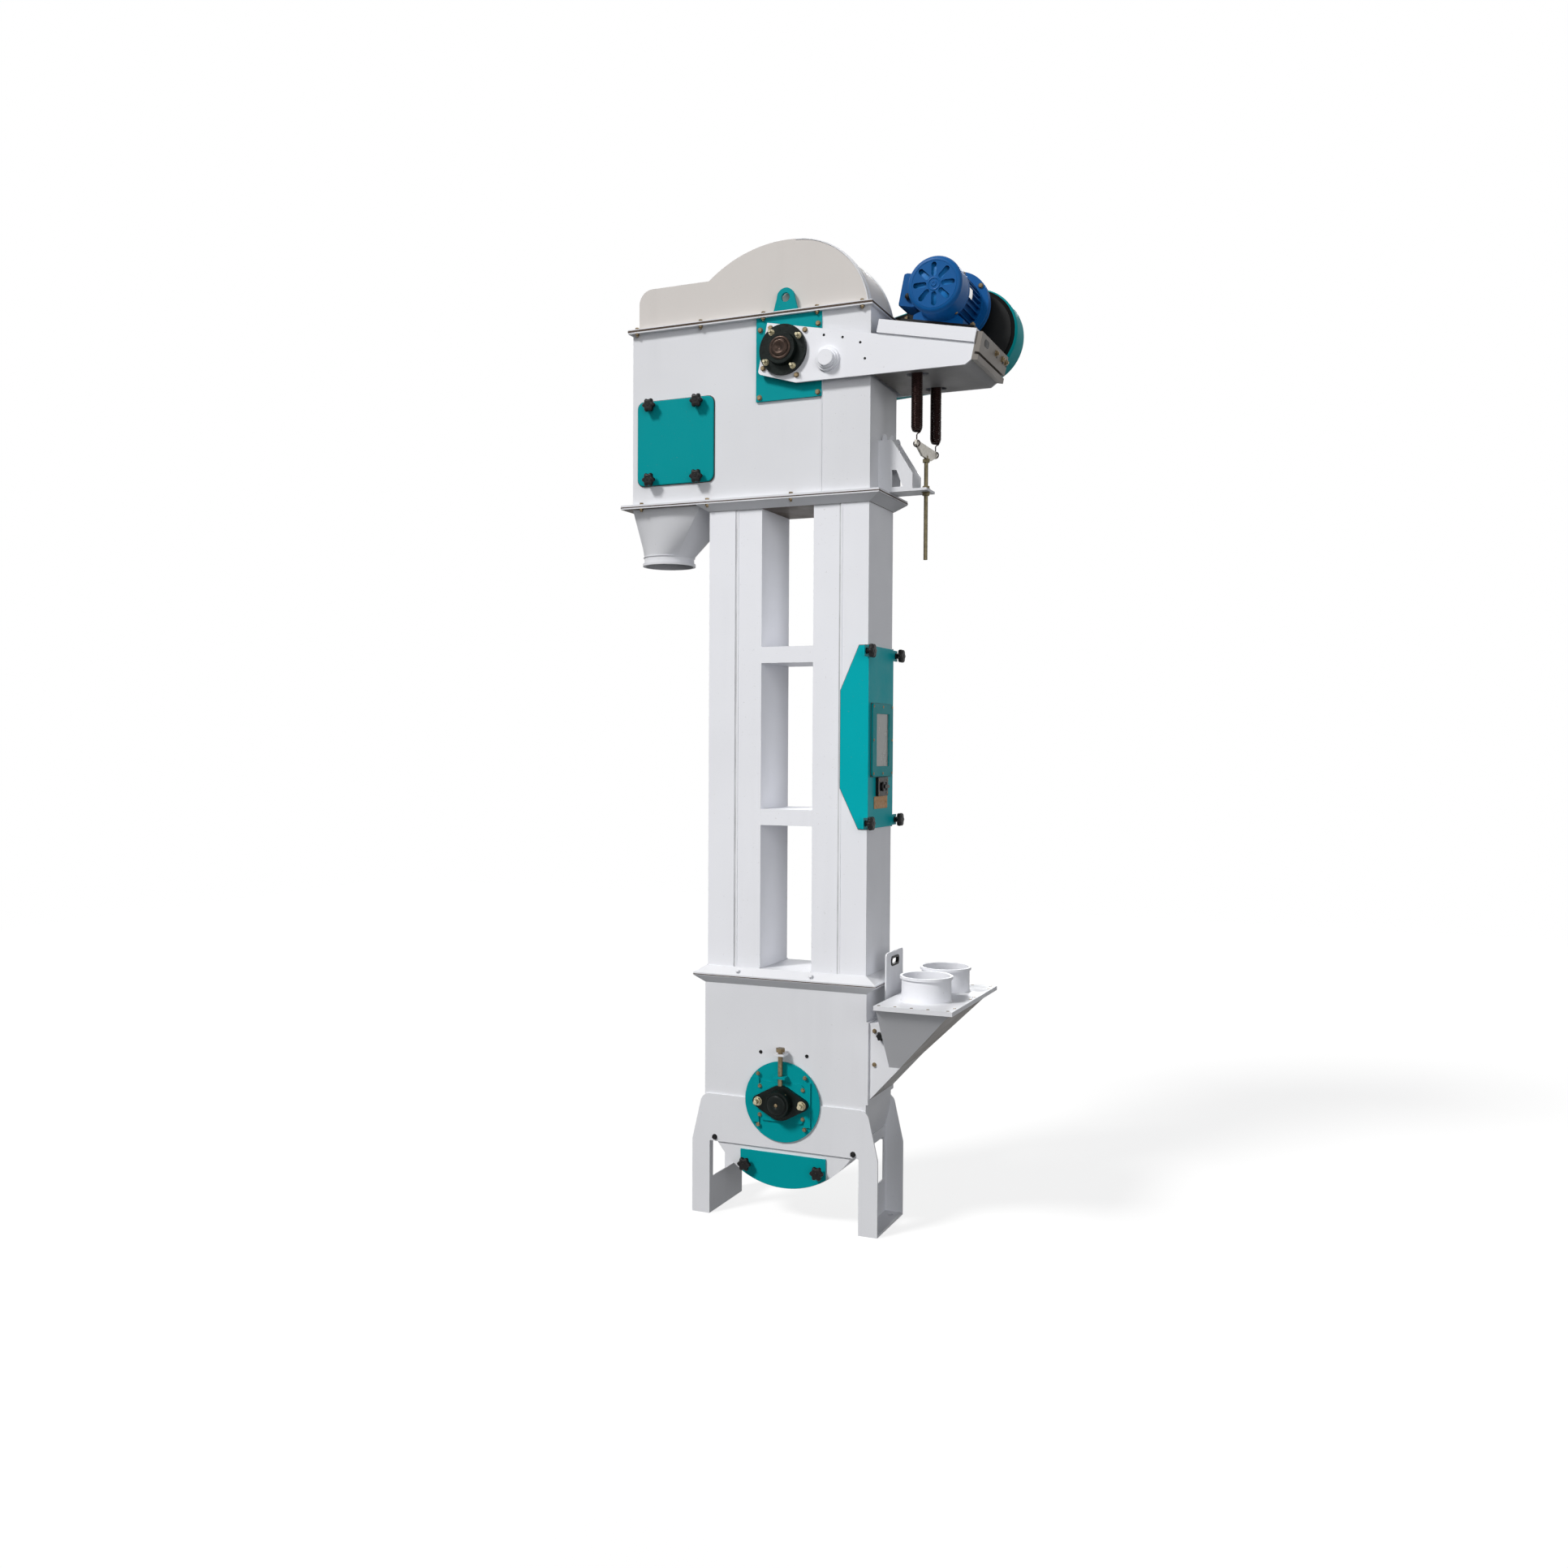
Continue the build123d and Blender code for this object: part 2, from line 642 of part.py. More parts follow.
# Trunk legs: two folded halves, the outer one lapped over the inner
for node, side in (("left_trunk", -1), ("right_trunk", 1)):
    with BuildPart() as trunk:
        with BuildSketch(Plane.XY.offset(boot_floor_z)):
            with Locations((side * trunk_centre, 0)):
                Rectangle(trunk_width, trunk_depth)
            with Locations((side * (trunk_centre + trunk_width / 4), 0)):
                Rectangle(trunk_width / 2, trunk_depth + 2 * seam_step)
            with Locations((side * trunk_centre, 0)):
                Rectangle(trunk_width - 2 * sheet, trunk_depth - 2 * sheet, mode=Mode.SUBTRACT)
        extrude(amount=trunk_top_z - boot_floor_z)
        if side > 0:
            block((trunk_outer_x - 2 * sheet, trunk_outer_x + 1), (-glass_width / 2 - 20, glass_width / 2 + 20),
                  (cover_cheek_low_z, cover_cheek_high_z), Mode.SUBTRACT)
    finish(trunk, node)

with BuildPart() as trunk_ties:
    with BuildSketch(Plane.YZ.offset(-trunk_inner_x)):
        with Locations(*[(0, level) for level in (lower_tie_z, upper_tie_z)]):
            Rectangle(trunk_depth, tie_height)
            Rectangle(trunk_depth - 2 * sheet, tie_height - 2 * sheet, mode=Mode.SUBTRACT)
    extrude(amount=2 * trunk_inner_x)
finish(trunk_ties, "trunk_ties")

# Inspection cover wrapped round the right leg
cover_face_x = trunk_outer_x + casing
with BuildPart() as leg_cover:
    with BuildSketch(Plane.XZ):
        with BuildLine():
            Polyline((cover_face_x, cover_low_z), (cover_face_x, cover_high_z), (cover_shoulder_x, cover_high_z),
                     (cover_cheek_x, cover_cheek_high_z), (cover_cheek_x, cover_cheek_low_z),
                     (cover_shoulder_x, cover_low_z), close=True)
        make_face()
    extrude(amount=trunk_half_depth + casing, both=True)
    block((0, trunk_outer_x), (-trunk_half_depth, trunk_half_depth), (cover_low_z - 1, cover_high_z + 1),
          Mode.SUBTRACT)
    for level in (cover_low_z + cover_knob_inset, cover_high_z - cover_knob_inset):
        block((trunk_outer_x, cover_face_x), (-cover_knob_y - 18, cover_knob_y + 18), (level - 18, level + 18))
    block((trunk_outer_x - 1, cover_face_x + 1), (-glass_width / 2, glass_width / 2),
          (glass_centre_z - glass_height / 2, glass_centre_z + glass_height / 2), Mode.SUBTRACT)
finish(leg_cover, "leg_cover")

with BuildPart() as sight_frame:
    with BuildSketch(Plane.YZ.offset(cover_face_x)):
        with Locations((0, glass_centre_z)):
            RectangleRounded(frame_width, frame_height, 10)
            Rectangle(glass_width, glass_height, mode=Mode.SUBTRACT)
    extrude(amount=frame_thickness)
    with BuildSketch(Plane.YZ.offset(cover_face_x)):
        with Locations((0, glass_centre_z)):
            Rectangle(glass_width + 16, glass_height + 16)
    extrude(amount=frame_rebate, mode=Mode.SUBTRACT)
finish(sight_frame, "sight_frame")

with BuildPart() as sight_glass:
    with BuildSketch(Plane.YZ.offset(cover_face_x)):
        with Locations((0, glass_centre_z)):
            Rectangle(glass_width + 15, glass_height + 15)
    extrude(amount=frame_rebate)
finish(sight_glass, "sight_glass")

with BuildPart() as cover_latch:
    block((cover_face_x, cover_face_x + 10), (-latch_width / 2, latch_width / 2),
          (latch_centre_z - latch_height / 2 + 2, latch_centre_z + latch_height / 2 - 2))
    fillet(cover_latch.edges().filter_by(Axis.X), 5)
    block((cover_face_x + 5, cover_face_x + 11), (-latch_width / 2 + 14, latch_width / 2 - 14),
          (latch_centre_z - 14, latch_centre_z + 14), Mode.SUBTRACT)
finish(cover_latch, "cover_latch")

# Head casing
head_width = head_right_x - head_left_x
head_centre_x = (head_right_x + head_left_x) / 2
with BuildPart() as head_base:
    skirted_plate(head_joint_z, -1)
    block((head_left_x - flange_side_reach, -flange_x + casing), (-flange_y, flange_y),
          (head_joint_z - plate, head_joint_z))
    block((spout_left_x + 3 * sheet, spout_right_x - 3 * sheet),
          (-spout_half_depth + 3 * sheet, spout_half_depth - 3 * sheet),
          (head_joint_z - 2 * plate, head_joint_z + plate), Mode.SUBTRACT)
    block((-flange_x, spout_right_x + 1), (-spout_half_depth - 1, spout_half_depth + 1),
          (head_joint_z - plate - skirt_height, head_joint_z - plate), Mode.SUBTRACT)
    with BuildSketch(Plane.XY.offset(head_joint_z)):
        with Locations((head_centre_x, 0)):
            Rectangle(head_width + 2 * flange_side_reach, 2 * flange_y)
            Rectangle(head_width, body_depth, mode=Mode.SUBTRACT)
    extrude(amount=flange_height)
finish(head_base, "head_base")

with BuildPart() as head_top_flange:
    with BuildSketch(Plane.XY.offset(hood_joint_z - flange_height)):
        with Locations((head_centre_x, 0)):
            Rectangle(head_width + 2 * hood_flange_reach, 2 * flange_y)
            Rectangle(head_width, body_depth, mode=Mode.SUBTRACT)
    extrude(amount=flange_height)
finish(head_top_flange, "head_top_flange")

with BuildPart() as head_casing:
    block((head_left_x, head_right_x), (-half_depth, half_depth), (head_joint_z, hood_joint_z))
    block((column_left_x, head_right_x), (-half_depth - casing, half_depth + casing),
          (head_joint_z + flange_height, hood_joint_z - flange_height))
    block((head_left_x + casing, head_right_x - casing), (-half_depth + casing, half_depth - casing),
          (head_joint_z - 1, hood_joint_z + 1), Mode.SUBTRACT)
    with BuildSketch(front(half_depth)):
        with Locations((0, head_shaft_z)):
            Circle(bearing_boss_radius - 20)
    extrude(amount=-body_depth, mode=Mode.SUBTRACT)
    with BuildSketch(front(half_depth)):
        with Locations((door_centre_x, door_centre_z)):
            RectangleRounded(door_width - 2 * door_opening_margin, door_height - 2 * door_opening_margin, 15)
    extrude(amount=-casing, mode=Mode.SUBTRACT)
finish(head_casing, "head_casing")


def hood_outline(inset, distance):
    """Hood side view: low shelf over the throat, long arc and tighter nose arc, pulled in by the inset."""
    low_z = hood_joint_z
    flat_z = hood_flat_z - inset
    left_x = hood_left_x + inset
    big = hood_arc_radius - inset
    nose = hood_nose_radius - inset
    corner = hood_corner - inset
    step_x = hood_arc_x - math.sqrt(big ** 2 - (flat_z - hood_arc_z) ** 2)
    lean = math.atan2(hood_nose_z - hood_arc_z, hood_nose_x - hood_arc_x)
    meet = (hood_arc_x + big * math.cos(lean), hood_arc_z + big * math.sin(lean))
    start_angle = math.atan2(flat_z - hood_arc_z, step_x - hood_arc_x)
    middle_angle = (start_angle + lean) / 2
    crest = (hood_arc_x + big * math.cos(middle_angle), hood_arc_z + big * math.sin(middle_angle))
    end_angle = math.asin((low_z - hood_nose_z) / nose)
    nose_mid = (lean + end_angle) / 2
    nose_point = (hood_nose_x + nose * math.cos(nose_mid), hood_nose_z + nose * math.sin(nose_mid))
    nose_end = (hood_nose_x + nose * math.cos(end_angle), low_z)
    arc_mid = (left_x + corner * (1 - math.cos(math.pi / 4)), flat_z - corner * (1 - math.sin(math.pi / 4)))
    with BuildSketch(front(distance)) as outline:
        with BuildLine():
            Line(nose_end, (left_x, low_z))
            Line((left_x, low_z), (left_x, flat_z - corner))
            ThreePointArc((left_x, flat_z - corner), arc_mid, (left_x + corner, flat_z))
            Line((left_x + corner, flat_z), (step_x, flat_z))
            ThreePointArc((step_x, flat_z), crest, meet)
            ThreePointArc(meet, nose_point, nose_end)
        make_face()
    return outline.sketch


hood_right_x = hood_nose_x + hood_nose_radius
with BuildPart() as head_hood:
    extrude(hood_outline(0, half_depth), amount=-body_depth)
    extrude(hood_outline(casing, half_depth - casing), amount=-(body_depth - 2 * casing), mode=Mode.SUBTRACT)
finish(head_hood, "head_hood")

with BuildPart() as hood_flange:
    with BuildSketch(Plane.XY.offset(hood_joint_z)):
        with Locations((head_centre_x, 0)):
            Rectangle(head_width + 2 * hood_flange_reach, 2 * flange_y)
        with Locations(((hood_left_x + hood_right_x) / 2, 0)):
            Rectangle(hood_right_x - hood_left_x, body_depth, mode=Mode.SUBTRACT)
    extrude(amount=plate)
finish(hood_flange, "hood_flange")

# Discharge spout
spout_width = spout_right_x - spout_left_x


def spout_form(wall):
    """Square-to-round sections of the spout, pulled in by the wall."""
    with BuildSketch(Plane.XY.offset(trunk_top_z)) as mouth:
        with Locations((spout_left_x + spout_width / 2, 0)):
            Rectangle(spout_width - 2 * wall, 2 * (spout_half_depth - wall))
    with BuildSketch(Plane.XY.offset(spout_throat_z)) as throat:
        with Locations((spout_centre_x, 0)):
            Circle(spout_radius - wall)
    return [mouth.sketch, throat.sketch]


with BuildPart() as discharge_spout:
    loft(spout_form(0), ruled=True)
    loft(spout_form(sheet), ruled=True, mode=Mode.SUBTRACT)
    collar(spout_centre_x, 0, spout_throat_z, -1, spout_radius, spout_throat_z - spout_end_z)
finish(discharge_spout, "discharge_spout")

# Head door, bearing plates and lugs
with BuildPart() as head_door:
    with BuildSketch(front(half_depth)):
        with Locations((door_centre_x, door_centre_z)):
            RectangleRounded(door_width, door_height, door_corner)
    extrude(amount=thick_plate)
    fillet(head_door.faces().sort_by(Axis.Y)[0].edges(), 3)
finish(head_door, "head_door")

with BuildPart() as bearing_plates:
    block((bearing_plate_left, column_left_x), (-half_depth - thick_plate, -half_depth),
          (bearing_plate_low_z, hood_joint_z - flange_height))
    with BuildSketch(front(half_depth + thick_plate)):
        with Locations((0, head_shaft_z)):
            Circle(bearing_boss_radius)
    extrude(amount=bearing_boss_length)
    with Locations((0, -half_depth, head_shaft_z)):
        Cylinder(shaft_radius + 10, 100, rotation=(90, 0, 0), mode=Mode.SUBTRACT)
    mirror(about=Plane.XZ)
finish(bearing_plates, "bearing_plates")

with BuildPart() as lifting_lugs:
    for side in (-1, 1):
        lug_face = -side * (half_depth + flange_front_reach - lug_thickness)
        with BuildSketch(front(lug_face)):
            with BuildLine():
                lug_base = hood_joint_z + plate
                Polyline((-lug_top_radius, lug_hole_z), (-lug_half_width, lug_base), (lug_half_width, lug_base),
                         (lug_top_radius, lug_hole_z))
                ThreePointArc((lug_top_radius, lug_hole_z), (0, lug_hole_z + lug_top_radius),
                              (-lug_top_radius, lug_hole_z))
            make_face()
            with Locations((0, lug_hole_z)):
                Circle(lug_hole_radius, mode=Mode.SUBTRACT)
        extrude(amount=-side * lug_thickness)
finish(lifting_lugs, "lifting_lugs")

head_bearing_y = platform_y
with BuildPart() as head_bearings:
    with BuildSketch(front(head_bearing_y)):
        with Locations((0, head_shaft_z)):
            Circle(head_bearing_radius)
    extrude(amount=bearing_flange)
    with BuildSketch(front(head_bearing_y + bearing_flange)):
        with Locations((0, head_shaft_z)):
            Circle(bearing_hub_radius + 8)
    extrude(amount=head_hub_length, taper=10)
    with Locations((0, -head_bearing_y, head_shaft_z)):
        Cylinder(shaft_radius + running_gap, 200, rotation=(90, 0, 0), mode=Mode.SUBTRACT)
    mirror(about=Plane.XZ)
finish(head_bearings, "head_bearings")

# Drive arms
with BuildPart() as drive_arms:
    with BuildSketch(front(arm_y)) as arm_outline:
        with BuildLine():
            Polyline(on_base(arm_back, arm_top), on_base(platform_start + 5, arm_top),
                     on_base(platform_start + 5, platform_top - thick_plate),
                     on_base(arm_end, platform_top - thick_plate), on_base(arm_end, rail_lip_low),
                     (on_base(arm_end, rail_lip_low)[0] - 20, arm_bottom_z), (arm_knee_x, arm_bottom_z),
                     on_base(arm_back, arm_low), close=True)
        make_face()
        fillet(arm_outline.vertices().group_by(Axis.X)[0], arm_corner)
    extrude(amount=thick_plate)
    with Locations((0, -arm_y, head_shaft_z)):
        Cylinder(shaft_radius + 10, 100, rotation=(90, 0, 0), mode=Mode.SUBTRACT)
    mirror(about=Plane.XZ)
    for step, radius in ((1, pivot_boss_radius), (2, pivot_boss_radius - 7), (3, pivot_boss_radius - 16)):
        with BuildSketch(front(platform_y)):
            with Locations((pivot_boss_x, pivot_boss_z)):
                Circle(radius)
        extrude(amount=step * thick_plate)
finish(drive_arms, "drive_arms")

end_foot = on_base(arm_end, rail_lip_low)
with BuildPart() as drive_base:
    with BuildSketch(Plane.XZ):
        with BuildLine():
            Polyline((base_floor_x, arm_bottom_z), (end_foot[0] - 20, arm_bottom_z), end_foot,
                     on_base(arm_end, platform_top - thick_plate), on_base(arm_end - plate, platform_top - thick_plate),
                     on_base(arm_end - plate, rail_lip_low + plate), (end_foot[0] - 26, arm_bottom_z + plate),
                     (base_floor_x, arm_bottom_z + plate), close=True)
        make_face()
    extrude(amount=arm_y, both=True)
    with BuildSketch(Plane.XY.offset(arm_bottom_z)):
        with Locations((spring_x, -spring_y), (spring_x, spring_y)):
            SlotOverall(3 * spring_opening, 2 * spring_opening)
    extrude(amount=plate, mode=Mode.SUBTRACT)
    with Locations((spring_x, 0, spring_pin_z)):
        Cylinder(spring_pin_radius, 2 * arm_y, rotation=(90, 0, 0))
finish(drive_base, "drive_base")

with BuildPart() as motor_platform:
    with BuildSketch(Plane.XZ):
        with BuildLine():
            Polyline(on_base(platform_start, platform_low), on_base(platform_start, platform_top),
                     on_base(arm_end, platform_top), on_base(arm_end, platform_low), close=True)
        make_face()
    extrude(amount=guard_y, both=True)
    with BuildSketch(Plane.XZ):
        with BuildLine():
            Polyline(on_base(platform_start - 1, platform_low - 1),
                     on_base(platform_start - 1, platform_top - thick_plate),
                     on_base(arm_end + 1, platform_top - thick_plate), on_base(arm_end + 1, platform_low - 1),
                     close=True)
        make_face()
    extrude(amount=platform_y, both=True, mode=Mode.SUBTRACT)
finish(motor_platform, "motor_platform")

with BuildPart() as end_rail:
    with BuildSketch(Plane.XZ):
        with BuildLine():
            Polyline(on_base(arm_end, rail_lip_low), on_base(arm_end, rail_high),
                     on_base(arm_end + rail_thickness, rail_high), on_base(arm_end + rail_thickness, rail_low),
                     on_base(arm_end + plate, rail_low), on_base(arm_end + plate, rail_lip_high),
                     on_base(arm_end + rail_thickness, rail_lip_high),
                     on_base(arm_end + rail_thickness, rail_lip_low), close=True)
        make_face()
    extrude(amount=platform_y, both=True)
finish(end_rail, "end_rail")

# Motor
slide_top_v = platform_top + slide_base_height
motor_v = slide_top_v + motor_shaft_height
motor_x, motor_z = on_base(motor_u, motor_v)
with BuildPart() as slide_base:
    for low_y in (slide_rail_front_y, slide_rail_back_y):
        with BuildSketch(front(-low_y)):
            with BuildLine():
                Polyline(on_base(motor_u - slide_rail_length / 2, platform_top),
                         on_base(motor_u - slide_rail_length / 2, slide_top_v),
                         on_base(motor_u + slide_rail_length / 2, slide_top_v),
                         on_base(motor_u + slide_rail_length / 2, platform_top), close=True)
            make_face()
        extrude(amount=-slide_rail_width)
finish(slide_base, "slide_base")

with BuildPart() as motor_body:
    with BuildSketch(front(fan_cover_overlap - fan_cover_rear_y)):
        with Locations((motor_x, motor_z)):
            Circle(motor_core_radius)
            with PolarLocations(motor_core_radius, motor_fin_count):
                Rectangle(2 * (motor_fin_radius - motor_core_radius), motor_fin_thickness)
    extrude(amount=-(bell_start_y - fan_cover_rear_y + fan_cover_overlap))
    with BuildSketch(front(-bell_start_y)):
        with Locations((motor_x, motor_z)):
            Circle(bell_radius)
    extrude(amount=-(bell_end_y - bell_start_y) / 2)
    with BuildSketch(front(-(bell_start_y + bell_end_y) / 2)):
        with Locations((motor_x, motor_z)):
            Circle(bell_radius)
    extrude(amount=-(bell_end_y - bell_start_y) / 2, taper=30)
    with BuildSketch(front(-slide_rail_front_y)):
        with BuildLine():
            Polyline(on_base(motor_u - motor_foot_reach, slide_top_v),
                     on_base(motor_u - motor_foot_reach, slide_top_v + motor_foot_height),
                     on_base(motor_u - motor_neck_reach, motor_v - motor_neck_drop),
                     on_base(motor_u + motor_neck_reach, motor_v - motor_neck_drop),
                     on_base(motor_u + motor_foot_reach, slide_top_v + motor_foot_height),
                     on_base(motor_u + motor_foot_reach, slide_top_v), close=True)
        make_face()
    extrude(amount=-(slide_rail_pitch + slide_rail_width))
    with Locations((motor_x, 0, motor_z)):
        Cylinder(motor_shaft_radius, guard_y + 40, rotation=(-90, 0, 0), align=(Align.CENTER, Align.CENTER, Align.MIN))
finish(motor_body, "motor_body")

with BuildPart() as fan_cover:
    with BuildSketch(front(-fan_cover_rear_y)):
        with Locations((motor_x, motor_z)):
            Circle(fan_cover_radius)
    extrude(amount=fan_cover_rear_y - fan_cover_front_y)
    fillet(fan_cover.faces().sort_by(Axis.Y)[0].edges(), 14)
    offset(amount=-fan_cover_wall, openings=fan_cover.faces().sort_by(Axis.Y)[-1])
    with BuildSketch(front(-fan_cover_front_y)):
        with Locations((motor_x, motor_z)):
            with PolarLocations((fan_petal_inner + fan_petal_outer) / 2, fan_petal_count):
                SlotOverall(fan_petal_outer - fan_petal_inner, fan_petal_width)
    extrude(amount=-2 * fan_cover_wall, mode=Mode.SUBTRACT)
finish(fan_cover, "fan_cover")

box_u, box_y, box_v = terminal_box_size
with BuildPart() as terminal_box:
    with BuildSketch(front(box_y / 2)):
        with BuildLine():
            left_u = motor_u - motor_fin_radius - running_gap
            Polyline(on_base(left_u, motor_v - box_v / 2), on_base(left_u, motor_v + box_v / 2),
                     on_base(left_u - box_u, motor_v + box_v / 2), on_base(left_u - box_u, motor_v - box_v / 2),
                     close=True)
        make_face()
    extrude(amount=-box_y)
    fillet(terminal_box.edges().filter_by(Axis.Y), 8)
finish(terminal_box, "terminal_box")


def guard_outline(y, inset):
    """Outline round the head shaft and the wider far end of the guard, drawn in by an inset."""
    with BuildSketch(front(-y)) as outline:
        with Locations((0, head_shaft_z)):
            Circle(guard_near_radius - inset)
        with Locations((guard_far_x, guard_far_z)):
            Circle(guard_far_radius - inset)
        make_hull()
    return outline.sketch


with BuildPart() as guard_back:
    extrude(guard_outline(guard_y, guard_front_rim), amount=-guard_wall)
    with Locations((0, guard_y, head_shaft_z)):
        Cylinder(head_bearing_radius + 1, 4 * guard_wall, rotation=(90, 0, 0), mode=Mode.SUBTRACT)
    with Locations((motor_x, guard_y, motor_z)):
        Cylinder(2 * motor_shaft_radius, 4 * guard_wall, rotation=(90, 0, 0), mode=Mode.SUBTRACT)
finish(guard_back, "guard_back")

def guard_shell(inset):
    """The guard's rounded body drawn in on all sides by an inset."""
    with BuildPart() as shell:
        extrude(guard_outline(guard_y + guard_wall + inset, inset), amount=2 * inset - guard_depth)
        fillet(shell.faces().sort_by(Axis.Y)[-1].edges(), guard_rim - inset)
        fillet(shell.faces().sort_by(Axis.Y)[0].edges(), guard_front_rim - inset)
    return shell.part


with BuildPart() as belt_guard:
    add(guard_shell(0))
    add(guard_shell(guard_wall), mode=Mode.SUBTRACT)
    extrude(guard_outline(guard_y + guard_wall, guard_front_rim), amount=-2 * guard_wall, mode=Mode.SUBTRACT)
finish(belt_guard, "belt_guard")

# Spring tensioner
with BuildPart() as tension_springs:
    for side in (-1, 1):
        with Locations((spring_x, side * spring_y, (spring_low_z + spring_high_z) / 2)):
            Cylinder(spring_radius, spring_high_z - spring_low_z)
        for end_z, target_z in ((spring_low_z, yoke_top_z), (spring_high_z, spring_pin_z - spring_pin_radius)):
            with Locations((spring_x, side * spring_y, (end_z + target_z) / 2)):
                Cylinder(hook_wire, abs(end_z - target_z))
    fillet(tension_springs.edges().filter_by(GeomType.CIRCLE).filter_by(
           lambda edge: abs(edge.radius - spring_radius) < 0.1), 12)
finish(tension_springs, "tension_springs")

shelf_z = head_joint_z + flange_height
yoke_low_z = yoke_top_z - yoke_height
with BuildPart() as tension_rod:
    with BuildSketch(Plane.YZ.offset(spring_x - 4)):
        with BuildLine():
            Polyline((-yoke_half_width, yoke_top_z), (yoke_half_width, yoke_top_z),
                     (yoke_half_width, yoke_top_z - 14), (yoke_foot_half_width, yoke_low_z),
                     (-yoke_foot_half_width, yoke_low_z), (-yoke_half_width, yoke_top_z - 14), close=True)
        make_face()
    extrude(amount=8)
    with Locations((spring_x, 0, rod_low_z)):
        Cylinder(rod_radius, yoke_low_z + 10 - rod_low_z, align=(Align.CENTER, Align.CENTER, Align.MIN))
    for low_z in (shelf_z - 12, shelf_z + thick_plate):
        with BuildSketch(Plane.XY.offset(low_z)):
            with Locations((spring_x, 0)):
                RegularPolygon(13, 6)
        extrude(amount=12)
finish(tension_rod, "tension_rod")

with BuildPart() as spring_bracket:
    block((head_right_x, bracket_shelf_x), (-bracket_half_width, bracket_half_width),
          (shelf_z, shelf_z + thick_plate))
    for side in (-1, 1):
        with BuildSketch(front(side * (bracket_half_width - plate / 2) + plate / 2)):
            with BuildLine():
                Polyline((head_right_x, shelf_z), (head_right_x, bracket_top_z), (bracket_box_x, bracket_top_z),
                         (bracket_nose_x, bracket_nose_z), (bracket_nose_x, shelf_z), close=True)
            make_face()
            with BuildLine():
                Polyline((bracket_box_x, shelf_z + 16), (bracket_box_x, bracket_box_low_z - 6),
                         (bracket_box_x + 16, bracket_box_low_z - 6), (bracket_box_x + 38, shelf_z + 16), close=True)
            make_face(mode=Mode.SUBTRACT)
        extrude(amount=-plate)
    block((bracket_box_x - plate, bracket_box_x), (-bracket_half_width, bracket_half_width),
          (bracket_box_low_z, bracket_top_z))
    with Locations((spring_x, 0, shelf_z)):
        Cylinder(rod_radius + running_gap, 60, mode=Mode.SUBTRACT)
finish(spring_bracket, "spring_bracket")

# Bucket belt and pulleys
shaft_distance = head_shaft_z - boot_shaft_z
belt_inner = pulley_radius + running_gap


def bucket(run_side, bucket_z):
    """One bucket on a straight run: rising and mouth up on the right, falling and mouth down on the left."""
    back_x = belt_inner + belt_thickness - 1
    tip_x = back_x + bucket_projection
    with BuildSketch(front(bucket_width / 2)) as body:
        with BuildLine():
            Polyline((run_side * back_x, bucket_z), (run_side * back_x, bucket_z + run_side * bucket_depth),
                     (run_side * tip_x, bucket_z + run_side * bucket_depth),
                     (run_side * (tip_x - 12), bucket_z + run_side * 30),
                     (run_side * (tip_x - 45), bucket_z), close=True)
        make_face()
    extrude(body.sketch, amount=-bucket_width)
    with BuildSketch(front(bucket_width / 2 - bucket_wall)) as hollow:
        with BuildLine():
            Polyline((run_side * (back_x + 2 * bucket_wall), bucket_z + run_side * bucket_wall),
                     (run_side * (back_x + 2 * bucket_wall), bucket_z + run_side * (bucket_depth + 1)),
                     (run_side * (tip_x - bucket_wall), bucket_z + run_side * (bucket_depth + 1)),
                     (run_side * (tip_x - 12 - bucket_wall), bucket_z + run_side * 32),
                     (run_side * (tip_x - 46 - bucket_wall), bucket_z + run_side * bucket_wall), close=True)
        make_face()
    extrude(hollow.sketch, amount=-(bucket_width - 2 * bucket_wall), mode=Mode.SUBTRACT)


with BuildPart() as bucket_belt:
    with BuildSketch(Plane.XZ):
        with Locations((0, (boot_shaft_z + head_shaft_z) / 2)):
            SlotCenterToCenter(shaft_distance, 2 * (belt_inner + belt_thickness), rotation=90)
            SlotCenterToCenter(shaft_distance, 2 * belt_inner, rotation=90, mode=Mode.SUBTRACT)
    extrude(amount=belt_width / 2, both=True)
    run_count = int(shaft_distance // bucket_pitch)
    for index in range(run_count):
        level = boot_shaft_z + bucket_pitch * (index + 0.4)
        bucket(1, level)
        bucket(-1, level + bucket_depth)
finish(bucket_belt, "bucket_belt")

for node, shaft_z, front_y, rear_y in (
        ("head_shaft", head_shaft_z, head_bearing_y + bearing_flange + head_hub_length + shaft_end,
         guard_y + guard_depth - guard_rim),
        ("boot_shaft", boot_shaft_z, bearing_back_y + bearing_flange + bearing_hub_length + shaft_end,
         bearing_back_y + bearing_flange + bearing_hub_length + shaft_end)):
    with BuildPart() as shaft:
        with BuildSketch(front(front_y)):
            with Locations((0, shaft_z)):
                Circle(shaft_radius)
        extrude(amount=-(front_y + rear_y))
        with BuildSketch(front(pulley_width / 2)):
            with Locations((0, shaft_z)):
                Circle(pulley_radius)
        extrude(amount=-pulley_width)
        for side in (-1, 1):
            with BuildSketch(front(side * pulley_width / 2)):
                with Locations((0, shaft_z)):
                    Circle(pulley_radius - 10)
                    Circle(1.6 * shaft_radius, mode=Mode.SUBTRACT)
            extrude(amount=-side * pulley_width / 3, mode=Mode.SUBTRACT)
    finish(shaft, node)


